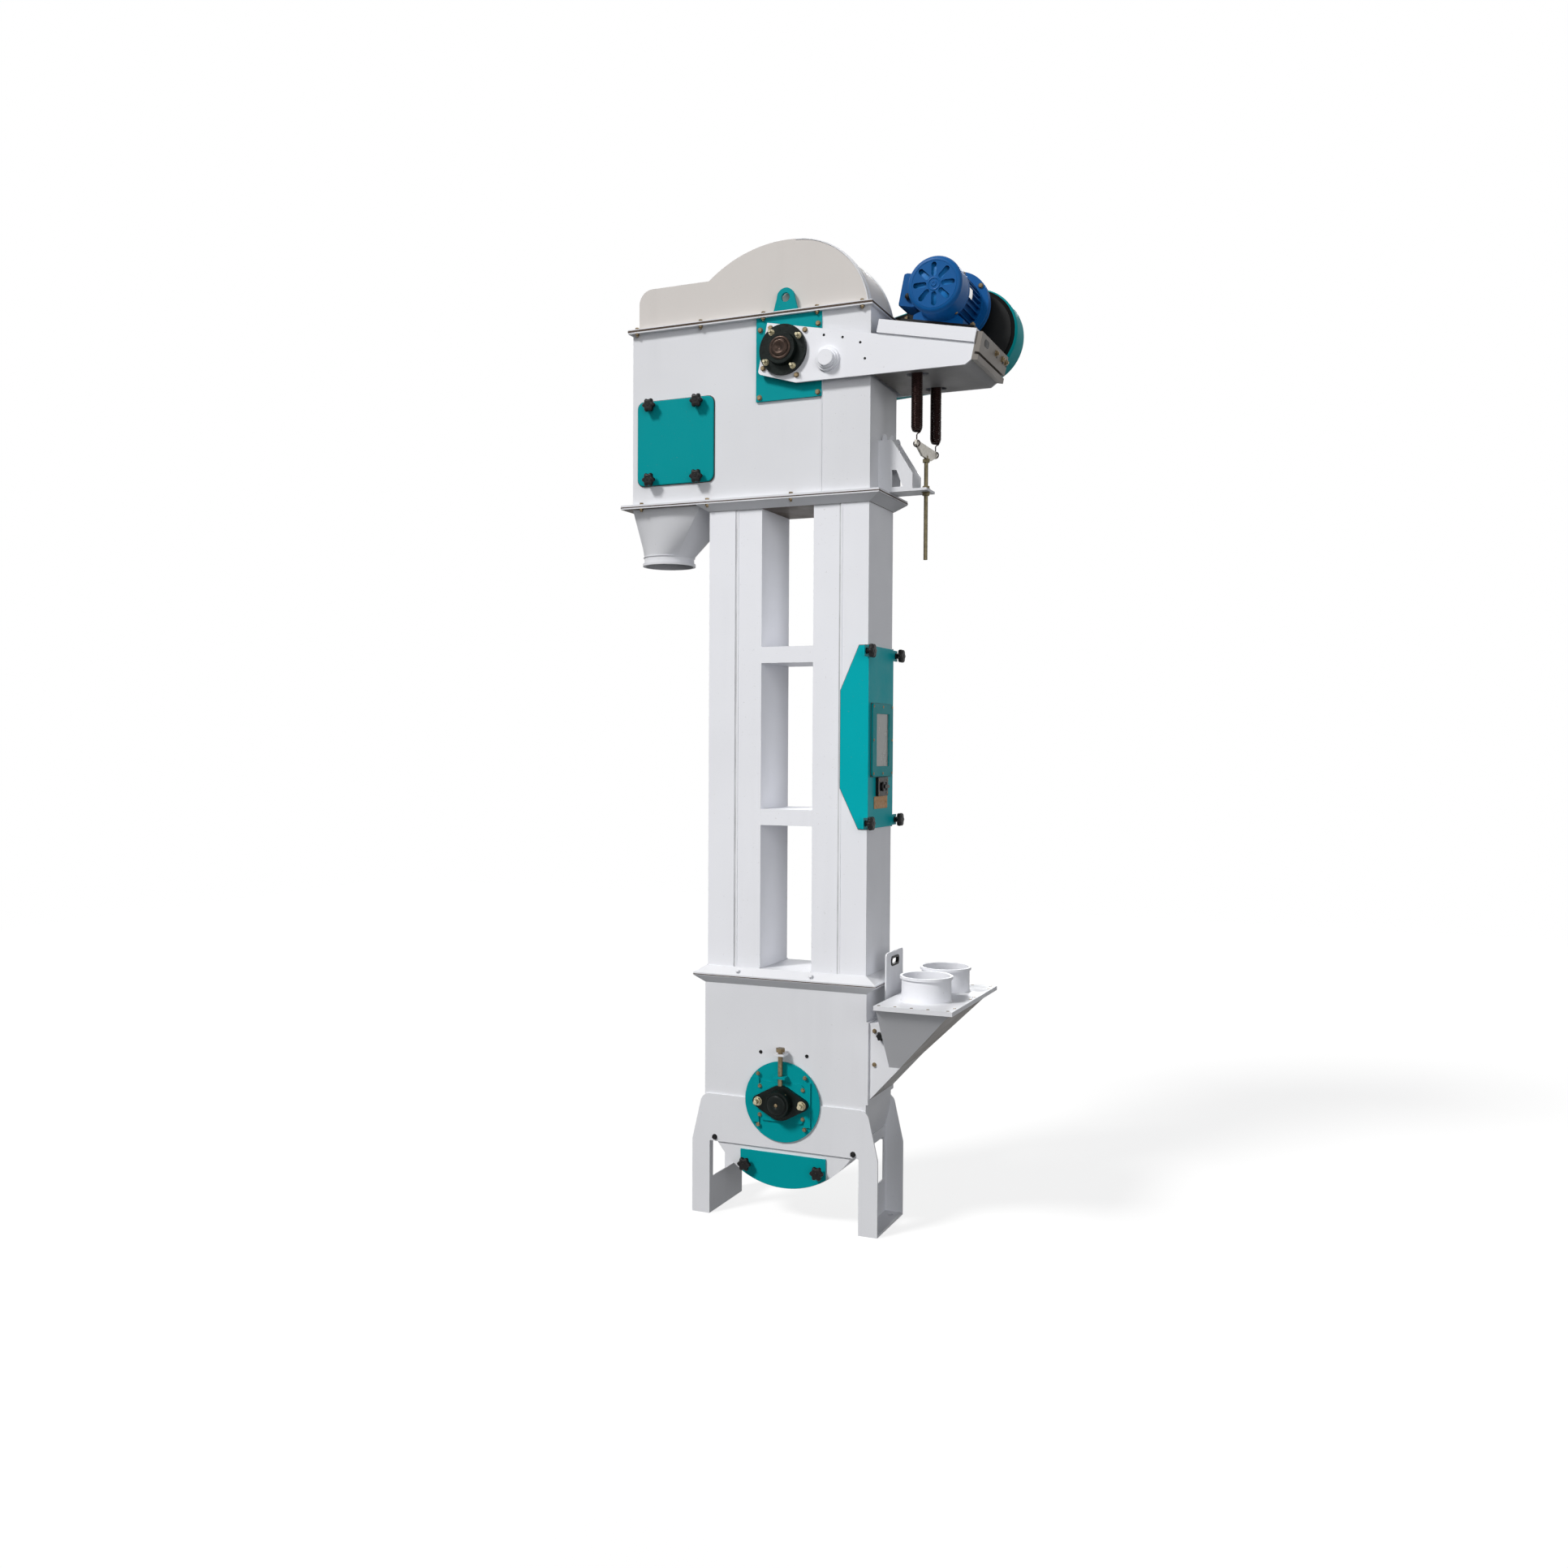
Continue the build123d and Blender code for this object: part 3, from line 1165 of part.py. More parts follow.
def knob(centre, direction):
    """Six-lobed clamping knob on its stem; direction is the way it faces."""
    seat = Plane(origin=centre, x_dir=(0, 0, 1), z_dir=direction)
    with BuildSketch(seat) as stem:
        Circle(knob_stem_radius)
    extrude(stem.sketch, amount=knob_stem_length)
    with BuildSketch(seat.offset(knob_stem_length)) as grip:
        Circle(knob_radius)
        with PolarLocations(knob_radius, 6):
            Circle(knob_lobe)
    extrude(grip.sketch, amount=knob_thickness)


with BuildPart() as star_knobs:
    for dx in (-door_knob_x, door_knob_x):
        for dz in (-door_knob_z, door_knob_z):
            knob((door_centre_x + dx, -half_depth - thick_plate, door_centre_z + dz), (0, -1, 0))
    for side in (-1, 1):
        for dx in (-cleanout_knob_x, cleanout_knob_x):
            knob((dx, side * (half_depth + plate), cleanout_knob_z), (0, side, 0))
        for level in (cover_low_z + cover_knob_inset, cover_high_z - cover_knob_inset):
            knob((cover_face_x, side * cover_knob_y, level), (1, 0, 0))
finish(star_knobs, "star_knobs")
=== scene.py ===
import json
import math

import bmesh
import bpy
from mathutils import Matrix, Vector


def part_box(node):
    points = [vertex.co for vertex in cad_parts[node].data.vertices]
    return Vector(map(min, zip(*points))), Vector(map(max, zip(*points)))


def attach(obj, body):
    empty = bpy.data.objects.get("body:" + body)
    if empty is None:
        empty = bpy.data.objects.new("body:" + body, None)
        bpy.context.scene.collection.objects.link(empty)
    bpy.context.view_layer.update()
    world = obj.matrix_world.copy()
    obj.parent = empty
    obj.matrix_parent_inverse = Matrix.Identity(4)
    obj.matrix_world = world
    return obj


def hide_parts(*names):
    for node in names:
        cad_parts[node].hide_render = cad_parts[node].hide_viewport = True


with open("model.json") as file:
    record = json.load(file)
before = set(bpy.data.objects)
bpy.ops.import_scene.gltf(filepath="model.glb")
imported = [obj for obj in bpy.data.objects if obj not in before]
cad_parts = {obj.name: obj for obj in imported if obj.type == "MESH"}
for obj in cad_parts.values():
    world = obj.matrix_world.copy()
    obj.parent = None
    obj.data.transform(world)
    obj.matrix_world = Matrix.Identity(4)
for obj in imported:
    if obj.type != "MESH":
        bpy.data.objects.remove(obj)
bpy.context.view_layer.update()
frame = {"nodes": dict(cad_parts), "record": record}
nodes = frame["nodes"]

MM = 0.001
MACHINE = "machine"
GATE = "gate"
UP = Vector((0, 0, 1))
RIGHT = Vector((1, 0, 0))
FORWARD = Vector((0, -1, 0))
BACKWARD = Vector((0, 1, 0))
SIDES = (-1, 1)

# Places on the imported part. Every shape is drawn in millimetres, and skin() writes it in metres.
HEAD_SHAFT_Z = 2899
BOOT_SHAFT_Z = 413
TILT = math.radians(11.5)
BASE_ALONG = Vector((math.cos(TILT), 0, -math.sin(TILT)))
BASE_UP = Vector((math.sin(TILT), 0, math.cos(TILT)))
HOOD_X, HOOD_Z = 18, 3001
HOOD_FLANGE_TOP = 3033
HEAD_FLANGE_TOP = 2432
FLANGE_PAIR = 14
FLANGE_BOLT_Y = 137
DOOR_X, DOOR_Z = -414, 2640
ARM_FACE_Y = 156
SPOUT_X = -505
COLLAR_X, COLLAR_Y = 490, 105
HOPPER_BOLT_Z = 782
TRUNK_FACE_Y = 115.4
COVER_X = 291.5
SIGHT_Z = 1623
LATCH_Z = 1469
BLANK_PLATE_Z = 1416
GATE_GRIP_Z = 893
SPRING_X, SPRING_Y = 441, 100
YOKE_PIN_Z = 2568
SLIDE_TOP = 163
SLIDE_RAILS_Y = (-32, 74)


def at(x, y, z):
    """A point in millimetres."""
    return Vector((x, y, z))


def base_at(u, y, v):
    """A point given on the tilted drive base: u runs along it and v stands square to it."""
    return at(0, y, HEAD_SHAFT_Z) + BASE_ALONG * u + BASE_UP * v


MOTOR_U, MOTOR_V = 468, 253
MOTOR_X, _, MOTOR_Z = base_at(MOTOR_U, 0, MOTOR_V)
MOTOR_FEET_U = (MOTOR_U - 68, MOTOR_U + 68)


def motor_at(y):
    """A point on the motor's axis."""
    return at(MOTOR_X, y, MOTOR_Z)


# Camera

def place_camera():
    """Camera at the photograph's place: a 1932 pixel square frame, level to within two degrees."""
    frame_pixels = 1932
    focal_pixels = 1724.558
    sensor = 36.0
    place = Vector((1.8494, -4.3961, 1.6))
    yaw, pitch, roll = math.radians(23.459), math.radians(90 - 1.535), math.radians(0.321)
    data = bpy.data.cameras.new("photo_camera")
    data.sensor_width = sensor
    data.sensor_fit = "HORIZONTAL"
    data.lens = sensor * focal_pixels / frame_pixels
    data.clip_start = 0.1
    data.clip_end = 100.0
    camera = bpy.data.objects.new("photo_camera", data)
    bpy.context.scene.collection.objects.link(camera)
    camera.matrix_world = (Matrix.Translation(place) @ Matrix.Rotation(yaw, 4, "Z")
                           @ Matrix.Rotation(pitch, 4, "X") @ Matrix.Rotation(roll, 4, "Z"))
    bpy.context.scene.camera = camera


# Materials

class Graph:
    """A node material with short calls for the nodes it uses."""

    def __init__(self, name):
        self.mat = bpy.data.materials.new(name)
        self.mat.use_nodes = True
        self.tree = self.mat.node_tree
        self.bsdf = self.tree.nodes["Principled BSDF"]
        self.place = self.new("ShaderNodeTexCoord").outputs["Object"]

    def new(self, kind, **settings):
        node = self.tree.nodes.new(kind)
        for key, value in settings.items():
            setattr(node, key, value)
        return node

    def feed(self, node, key, value):
        """Set a socket to a number, or link it to another node's output."""
        socket = node.inputs[key]
        if isinstance(value, bpy.types.NodeSocket):
            self.tree.links.new(value, socket)
        else:
            socket.default_value = value

    def noise(self, scale, detail=4.0, rough=0.55, stretch=(1, 1, 1)):
        mapping = self.new("ShaderNodeMapping")
        self.feed(mapping, "Vector", self.place)
        self.feed(mapping, "Scale", stretch)
        node = self.new("ShaderNodeTexNoise")
        self.feed(node, "Vector", mapping.outputs["Vector"])
        self.feed(node, "Scale", scale)
        self.feed(node, "Detail", detail)
        self.feed(node, "Roughness", rough)
        return node.outputs["Fac"]

    def remap(self, value, low, high, to_low, to_high):
        node = self.new("ShaderNodeMapRange")
        for key, number in (("Value", value), ("From Min", low), ("From Max", high),
                            ("To Min", to_low), ("To Max", to_high)):
            self.feed(node, key, number)
        return node.outputs["Result"]

    def uneven(self, scale, detail, low, high, rough=0.55):
        """A value that wanders between two limits."""
        return self.remap(self.noise(scale, detail, rough), 0.3, 0.7, low, high)

    def math(self, kind, a, b):
        node = self.new("ShaderNodeMath", operation=kind)
        self.feed(node, 0, a)
        self.feed(node, 1, b)
        return node.outputs["Value"]

    def mix(self, factor, a, b):
        node = self.new("ShaderNodeMix", data_type="RGBA")
        self.feed(node, 0, factor)
        self.feed(node, 6, a)
        self.feed(node, 7, b)
        return node.outputs[2]

    def faded(self, colour, scale, dark, light):
        """A colour in broad patches between a darker and a lighter shade of it."""
        return self.mix(self.remap(self.noise(scale, 3.0), 0.35, 0.65, 0.0, 1.0),
                        shade(colour, dark), shade(colour, light))

    def bump(self, height, strength, distance, normal=None):
        node = self.new("ShaderNodeBump")
        self.feed(node, "Height", height)
        self.feed(node, "Strength", strength)
        self.feed(node, "Distance", distance)
        if normal is not None:
            self.feed(node, "Normal", normal)
        return node.outputs["Normal"]

    def orange_peel(self, strength=0.10):
        return self.bump(self.noise(520.0, 2.0, 0.5), strength, 0.0004)

    def edges(self, radius):
        """1 on sharp edges and 0 on flat faces."""
        bevel = self.new("ShaderNodeBevel", samples=4)
        self.feed(bevel, "Radius", radius)
        geometry = self.new("ShaderNodeNewGeometry")
        dot = self.new("ShaderNodeVectorMath", operation="DOT_PRODUCT")
        self.feed(dot, 0, bevel.outputs["Normal"])
        self.feed(dot, 1, geometry.outputs["Normal"])
        return self.remap(dot.outputs["Value"], 0.99, 0.86, 0.0, 1.0)

    def split(self, vector):
        """The X, Y and Z outputs of a vector."""
        node = self.new("ShaderNodeSeparateXYZ")
        self.feed(node, "Vector", vector)
        return node.outputs

    def finish(self, colour, rough, normal, metal=0.0, **extra):
        self.feed(self.bsdf, "Base Color", colour)
        self.feed(self.bsdf, "Roughness", rough)
        self.feed(self.bsdf, "Normal", normal)
        self.feed(self.bsdf, "Metallic", metal)
        for key, value in extra.items():
            self.feed(self.bsdf, key.replace("_", " "), value)
        return self.mat


def rgb(r, g, b):
    """Linear colour from display values between 0 and 255."""
    return tuple((c / 255 / 12.92) if c / 255 <= 0.04045 else ((c / 255 + 0.055) / 1.055) ** 2.4
                 for c in (r, g, b)) + (1.0,)


def grey(level):
    """Linear grey from a linear value."""
    return (level, level, level, 1.0)


def shade(colour, factor):
    return tuple(min(1.0, c * factor) for c in colour[:3]) + (1.0,)


def painted(name, colour, rough, chip, wave=0.25, grime=0.10, specular=0.15, ior=1.5):
    """Sprayed sheet steel: orange peel, slightly wavy sheet, fading, run-off streaks and worn edges."""
    g = Graph(name)
    base = g.faded(colour, 1.7, 0.965, 1.02)
    streak = g.noise(9.0, 5.0, 0.6, (1.0, 1.0, 0.07))
    base = g.mix(g.remap(streak, 0.55, 0.78, 0.0, grime), base, shade(colour, 0.62))
    speck = g.noise(160.0, 2.0, 0.5)
    base = g.mix(g.remap(speck, 0.70, 0.76, 0.0, 0.22), base, rgb(120, 112, 100))
    rub = g.math("MULTIPLY", g.edges(0.0016), g.remap(g.noise(26.0, 5.0, 0.7), 0.50, 0.66, 0.0, 0.5))
    base = g.mix(rub, base, chip)
    normal = g.bump(g.noise(3.2, 1.0, 0.4), wave, 0.006, g.orange_peel())
    gloss = g.uneven(14.0, 4.0, rough - 0.05, rough + 0.07, 0.6)
    return g.finish(base, gloss, normal, IOR=ior, Specular_IOR_Level=specular)


def painted_shade_below(name, colour, shade_colour, near, far, level=-0.4, steep=-0.8):
    """Painted sheet with painted shade on its downward faces: a dark brownish tone stands in for the shadow
    under the part.

    The painted shade begins where a face's normal drops below level and is full at steep, and it thins out
    from near to far along X.
    """
    g = Graph(name)
    base = g.faded(colour, 1.7, 0.965, 1.02)
    facing = g.split(g.new("ShaderNodeNewGeometry").outputs["True Normal"])
    below = g.remap(facing["Z"], level, steep, 0.0, 1.0)
    thin = g.remap(g.split(g.place)["X"], near, far, 1.0, 0.42)
    patchy = g.remap(g.noise(6.0, 5.0, 0.6), 0.3, 0.6, 0.88, 1.0)
    # painted shade: darkest on faces turned down, thinning along X
    cover = g.math("MULTIPLY", below, g.math("MULTIPLY", thin, patchy))
    gloss = g.uneven(14.0, 4.0, 0.44, 0.56, 0.6)
    return g.finish(g.mix(cover, base, shade_colour), gloss, g.orange_peel(0.12), IOR=1.4, Specular_IOR_Level=0.12)


def guard_paint(front, back, line):
    """Teal enamel over a guard whose front rim is sprayed black up to a paint line at a place along Y."""
    g = Graph("two_tone_guard_enamel")
    wander = g.uneven(30.0, 3.0, -0.0006, 0.0006)
    behind = g.remap(g.math("ADD", g.split(g.place)["Y"], wander), line - 0.0004, line + 0.0004, 0.0, 1.0)
    streak = g.remap(g.noise(9.0, 5.0, 0.6, (1.0, 1.0, 0.1)), 0.58, 0.8, 0.0, 0.18)
    fade = g.mix(streak, g.faded(back, 2.0, 0.94, 1.05), shade(back, 0.6))
    gloss = g.uneven(14.0, 4.0, 0.44, 0.54, 0.6)
    return g.finish(g.mix(behind, front, fade), gloss, g.orange_peel(), IOR=1.2, Specular_IOR_Level=0.2)


def plated(name, colour, rough, spread=0.35, pit=0.15):
    """Plated or oiled steel with uneven tone and fine scratches."""
    g = Graph(name)
    tone = g.remap(g.noise(70.0, 6.0, 0.65), 0.35, 0.68, 0.0, 1.0)
    base = g.mix(tone, shade(colour, 1 - spread), shade(colour, 1.08))
    normal = g.bump(g.noise(60.0, 2.0, 0.5, (1.0, 1.0, 14.0)), pit, 0.0004)
    return g.finish(base, g.uneven(120.0, 3.0, rough - 0.08, rough + 0.14), normal, 0.9)


def cast(name, colour, rough):
    """Painted grey-iron casting with a sandy skin."""
    g = Graph(name)
    base = g.mix(g.remap(g.noise(22.0, 5.0, 0.7), 0.4, 0.7, 0.0, 1.0), colour, shade(colour, 2.1))
    grain = g.bump(g.noise(420.0, 3.0, 0.6), 0.45, 0.0009)
    normal = g.bump(g.noise(60.0, 3.0, 0.6), 0.3, 0.002, grain)
    return g.finish(base, g.uneven(90.0, 3.0, rough - 0.08, rough + 0.1), normal, 0.15,
                    Specular_IOR_Level=0.15)


def moulded(name, colour, rough, grain=0.25):
    """Moulded plastic or rubber with a fine eroded grain and pale scuffs."""
    g = Graph(name)
    scuff = g.remap(g.noise(48.0, 7.0, 0.75), 0.60, 0.74, 0.0, 0.35)
    base = g.mix(scuff, colour, rgb(96, 94, 90))
    base = g.mix(g.remap(g.noise(8.0, 3.0), 0.4, 0.65, 0.0, 0.4), base, shade(colour, 1.7))
    normal = g.bump(g.noise(900.0, 2.0, 0.5), grain, 0.0005)
    return g.finish(base, g.uneven(60.0, 3.0, rough - 0.06, rough + 0.1), normal, Specular_IOR_Level=0.2)


def dusty_glass():
    """Sight glass with a veil of meal dust and fine scratches."""
    g = Graph("dusty_sight_glass")
    veil = g.remap(g.noise(11.0, 6.0, 0.65, (1, 1, 0.5)), 0.30, 0.72, 0.0, 1.0)
    base = g.mix(veil, rgb(146, 153, 152), rgb(172, 174, 168))
    scratches = g.bump(g.noise(90.0, 3.0, 0.6, (1.0, 9.0, 1.0)), 0.10, 0.0003)
    g.feed(g.bsdf, "Transmission Weight", 0.35)
    return g.finish(base, g.remap(veil, 0.0, 1.0, 0.12, 0.34), scratches, IOR=1.5)


def build_materials():
    """Every material of the scene, by slot name or by the finish that main() gives."""
    bare = rgb(206, 206, 205)
    white = rgb(228, 229, 233)
    guard_rim_black = rgb(15, 16, 16)
    return {
        "casing_white": painted("powder_coat_light_grey", white, 0.46, bare),
        # painted light: a brighter copy of the casing white for the parts that are lit most strongly
        "casing_white_painted_light": painted("powder_coat_painted_light", rgb(242, 243, 248), 0.46, bare),
        # painted shade: a darker, warmer copy of the casing white for the hood, which gets less light
        "casing_white_painted_shade": painted("powder_coat_warm_painted_shade", rgb(214, 209, 205), 0.46, bare),
        "machine_teal": painted("sprayed_teal_enamel", rgb(2, 150, 156), 0.42, rgb(90, 160, 158),
                                wave=0.2, grime=0.14, ior=1.3),
        # painted light: a brighter copy of the machine teal for the leg cover, which is lit most strongly
        "machine_teal_painted_light": painted("teal_enamel_painted_light", rgb(3, 174, 183), 0.42, rgb(90, 176, 176),
                              wave=0.2, grime=0.12, ior=1.3),
        "motor_blue": painted("cast_motor_blue", rgb(6, 86, 150), 0.40, rgb(40, 110, 160),
                              wave=0.12, grime=0.22),
        "guard_black": painted("satin_black_guard", guard_rim_black, 0.40, rgb(96, 96, 94),
                               wave=0.2, grime=0.2, specular=0.2),
        "rail_grey": painted("weathered_rail_grey", rgb(128, 122, 116), 0.5, rgb(170, 166, 160),
                             wave=0.1, grime=0.45, specular=0.3),
        # painted shade under the drive base, the inlet and the head's base
        "base_shaded_below": painted_shade_below("base_grey_painted_shade", white, rgb(64, 57, 48), 0.24, 0.66),
        "inlet_shaded_below": painted_shade_below("inlet_grey_painted_shade", white, rgb(92, 84, 76), 1.0, 2.0, -0.6, -0.7),
        "head_shaded_below": painted_shade_below("head_grey_painted_shade", white, rgb(84, 74, 66), 1.0, 2.0, -0.85, -0.97),
        "guard_two_tone": guard_paint(guard_rim_black, rgb(4, 150, 156), 0.1695),
        # painted light: a lighter blue than the motor's, so the fan shaded by its cover reads mid-blue
        "fan_blue": moulded("moulded_fan_blue_painted_light", rgb(16, 108, 176), 0.5, 0.2),
        "bearing_black": cast("bearing_casting_black", rgb(8, 15, 13), 0.34),
        "knob_black": moulded("knob_black_plastic", rgb(8, 8, 9), 0.44),
        "latch_black": moulded("latch_black_plastic", rgb(14, 14, 15), 0.38),
        "belt_rubber": moulded("belt_and_cup_black", rgb(34, 33, 32), 0.62, 0.5),
        "shaft_steel": plated("turned_shaft_steel", rgb(176, 176, 174), 0.28, 0.25, 0.3),
        "oily_steel": plated("oily_collar_steel", rgb(62, 50, 44), 0.34, 0.5),
        "zinc_steel": plated("yellow_zinc_steel", rgb(132, 116, 90), 0.38, 0.5),
        "bright_zinc": plated("bright_zinc_studs", rgb(186, 178, 150), 0.36, 0.4),
        "rod_steel": plated("olive_zinc_rod", rgb(104, 96, 74), 0.42, 0.4),
        "yoke_grey": plated("galvanised_yoke_grey", rgb(178, 174, 166), 0.45, 0.2),
        "spring_steel": plated("oil_dipped_spring_steel", rgb(38, 23, 21), 0.30, 0.35),
        "sight_glass": dusty_glass(),
        # painted shade for the grooves of the legs' seams
        "seam_shade_grey": moulded("seam_painted_shade_grey", rgb(190, 191, 194), 0.6, 0.2),
        "gasket_rubber": moulded("gasket_brown_rubber", rgb(78, 66, 58), 0.7, 0.3),
        "plate_brass": plated("blank_brass_plate", rgb(128, 90, 38), 0.42, 0.25),
        "plate_aluminium": plated("blank_aluminium_plate", rgb(238, 238, 236), 0.5, 0.06),
    }


# Mesh helpers, all in millimetres

def axes(normal):
    """Two directions square to a normal and to each other, and the normal itself."""
    n = Vector(normal).normalized()
    ref = UP if abs(n.z) < 0.9 else RIGHT
    u = ref.cross(n).normalized()
    return u, n.cross(u), n


def around(angle):
    """A direction in the XZ plane."""
    return Vector((math.cos(angle), 0, math.sin(angle)))


def ring_points(origin, normal, radius, height, sides, turn=0.0, lobes=0, depth=0.0):
    u, v, n = axes(normal)
    points = []
    for i in range(sides):
        a = turn + 2 * math.pi * i / sides
        r = radius * (1 + depth * math.cos(lobes * a)) if lobes else radius
        points.append(origin + u * (r * math.cos(a)) + v * (r * math.sin(a)) + n * height)
    return points


def skin(bm, layers, closed=False, smooth=True):
    """Quads between rings of equal length, with both ends capped unless the rings close on themselves."""
    rows = [[bm.verts.new(p * MM) for p in layer] for layer in layers]
    count = len(rows[0])
    pairs = list(zip(rows, rows[1:])) + ([(rows[-1], rows[0])] if closed else [])
    for low, high in pairs:
        for i in range(count):
            j = (i + 1) % count
            bm.faces.new((low[i], low[j], high[j], high[i])).smooth = smooth
    if not closed:
        bm.faces.new(list(reversed(rows[0]))).smooth = False
        bm.faces.new(rows[-1]).smooth = False


def add_stack(bm, origin, normal, rings, sides, turn=0.0, lobes=0, depth=0.0, smooth=True):
    """A turned solid: rings are (radius, height) pairs from base to top."""
    skin(bm, [ring_points(origin, normal, r, h, sides, turn, lobes, depth) for r, h in rings], smooth=smooth)


def add_loop(bm, origin, normal, section, sides=72):
    """A turned ring that closes on itself; section is a loop of (radius, height) pairs."""
    skin(bm, [ring_points(origin, normal, r, h, sides) for r, h in section], closed=True, smooth=False)


def add_tube(bm, points, radius, sides=8):
    """A round bar along a line of points, with its ends capped."""
    layers = []
    side = None
    for i, p in enumerate(points):
        ahead = (points[min(i + 1, len(points) - 1)] - points[max(i - 1, 0)]).normalized()
        if side is None:
            side = axes(ahead)[0]
        side = (side - ahead * side.dot(ahead)).normalized()
        other = ahead.cross(side)
        turns = [2 * math.pi * k / sides for k in range(sides)]
        layers.append([p + side * (radius * math.cos(t)) + other * (radius * math.sin(t)) for t in turns])
    skin(bm, layers)


def add_prism(bm, outline, thickness, bevel=0.0):
    """A plate from a loop of points: it grows by a vector, with small bevels on both faces if asked."""
    centre = sum(outline, Vector()) / len(outline)
    layers = [outline, [p + thickness for p in outline]]
    if bevel:
        shrink = [centre + (p - centre) * (1 - bevel / max((p - centre).length, bevel * 2)) for p in outline]
        step = thickness.normalized() * bevel
        layers = [shrink, [p + step for p in outline], [p + thickness - step for p in outline],
                  [p + thickness for p in shrink]]
    skin(bm, layers, smooth=False)


def rect(centre, u, v, width, height, corner=0.0):
    """Points of a rectangle on two axes, with round corners if asked."""
    if not corner:
        return [centre + u * (a * width / 2) + v * (b * height / 2)
                for a, b in ((-1, -1), (1, -1), (1, 1), (-1, 1))]
    steps = 5
    points = []
    for k, (a, b) in enumerate(((1, 1), (-1, 1), (-1, -1), (1, -1))):
        middle = centre + u * (a * (width / 2 - corner)) + v * (b * (height / 2 - corner))
        for i in range(steps + 1):
            t = math.pi / 2 * (k + i / steps)
            points.append(middle + u * (corner * math.cos(t)) + v * (corner * math.sin(t)))
    return points


def add_frame(bm, centre, u, v, outer, inner, thickness):
    """A flat frame between two rectangles of (width, height, corner), grown by a vector."""
    edge, hole = rect(centre, u, v, *outer), rect(centre, u, v, *inner)
    layers = [edge, [p + thickness for p in edge], [p + thickness for p in hole], hole]
    skin(bm, layers, closed=True, smooth=False)


def add_bolt(bm, where, normal, size, turn=0.0, proud=0.0):
    """Hexagon head on a washer; size is the thread, and proud the thread that shows past a nut."""
    lift = 0.18 * size
    top = lift + 0.66 * size
    add_stack(bm, where, normal, [(0.98 * size, 0.0), (1.05 * size, 0.04 * size), (1.05 * size, 0.14 * size),
                                  (0.98 * size, lift)], 20)
    head = [(0.90 * size, lift), (0.94 * size, lift + 0.06 * size), (0.94 * size, top - 0.12 * size),
            (0.80 * size, top)]
    add_stack(bm, where, normal, head, 6, turn, smooth=False)
    if proud:
        add_stack(bm, where, normal, [(0.5 * size, top - 0.01 * size), (0.5 * size, top + proud),
                                      (0.4 * size, top + proud + 0.08 * size)], 14)


def add_nut(bm, where, normal, size, height, turn=0.0):
    """A hexagon nut with its corners turned down on both faces."""
    add_stack(bm, where, normal, [(0.84 * size, 0.0), (size, 0.09 * height), (size, 0.91 * height),
                                  (0.84 * size, height)], 6, turn, smooth=False)


def add_screw(bm, where, normal, size):
    """Low domed screw head with a dished centre."""
    profile = ((0.95, 0.0), (0.95, 0.12), (0.72, 0.36), (0.34, 0.46), (0.26, 0.24))
    add_stack(bm, where, normal, [(r * size, h * size) for r, h in profile], 16)


def add_knob(bm, where, normal, radius=20.5, turn=0.0):
    """Six-lobed clamping knob with a waisted neck and a rounded, dished face."""
    neck = ((0.46, 0.0), (0.50, 0.04), (0.42, 0.22), (0.46, 0.50), (0.70, 0.62))
    grip = ((0.78, 0.60), (0.95, 0.66), (1.04, 0.80), (1.06, 1.00), (1.04, 1.20), (0.94, 1.36), (0.76, 1.45),
            (0.50, 1.47), (0.34, 1.44))
    cap = ((0.30, 1.43), (0.30, 1.47), (0.24, 1.50))
    add_stack(bm, where, normal, [(r * radius, h * radius) for r, h in neck], 24)
    add_stack(bm, where, normal, [(r * radius, h * radius) for r, h in grip], 72, turn, 6, 0.13)
    add_stack(bm, where, normal, [(r * radius, h * radius) for r, h in cap], 20)


def add_thread(bm, where, normal, radius, length, pitch):
    """A threaded bar: rings that alternate between crest and root."""
    rings = [(radius * 0.8, 0.0)]
    for i in range(int(length / pitch)):
        rings += [(radius * 0.88, (i + 0.25) * pitch), (radius, (i + 0.75) * pitch)]
    rings.append((radius * 0.8, length))
    add_stack(bm, where, normal, rings, 14)


def add_bead(bm, start, end, radius):
    """A run of weld along an edge: a slightly rippled bar."""
    ripple = 5.01
    count = max(4, int((end - start).length / ripple))
    u, v, _ = axes(end - start)
    layers = []
    for i in range(count + 1):
        p = start + (end - start) * (i / count)
        r = radius * (0.86 if i % 2 else 1.1)
        turns = [math.pi * k / 3 for k in range(6)]
        layers.append([p + u * (r * math.cos(t)) + v * (r * math.sin(t)) for t in turns])
    skin(bm, layers)


def arc_points(centre_x, centre_z, radius, start, end, y):
    """Points of an arc in the XZ plane, about one for every 2.5 degrees from start to end."""
    count = max(2, int(abs(end - start) / 2.5))
    centre = at(centre_x, y, centre_z)
    angles = [math.radians(start + (end - start) * i / count) for i in range(count + 1)]
    return [centre + around(a) * radius for a in angles]


def piece(name, bm, material, body=MACHINE):
    """Make an object of a finished mesh, on its body and with its slot."""
    bmesh.ops.recalc_face_normals(bm, faces=bm.faces)
    mesh = bpy.data.meshes.new(name)
    bm.to_mesh(mesh)
    bm.free()
    mesh.materials.append(material)
    obj = bpy.data.objects.new(name, mesh)
    bpy.context.scene.collection.objects.link(obj)
    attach(obj, body)
    return obj


# Fasteners

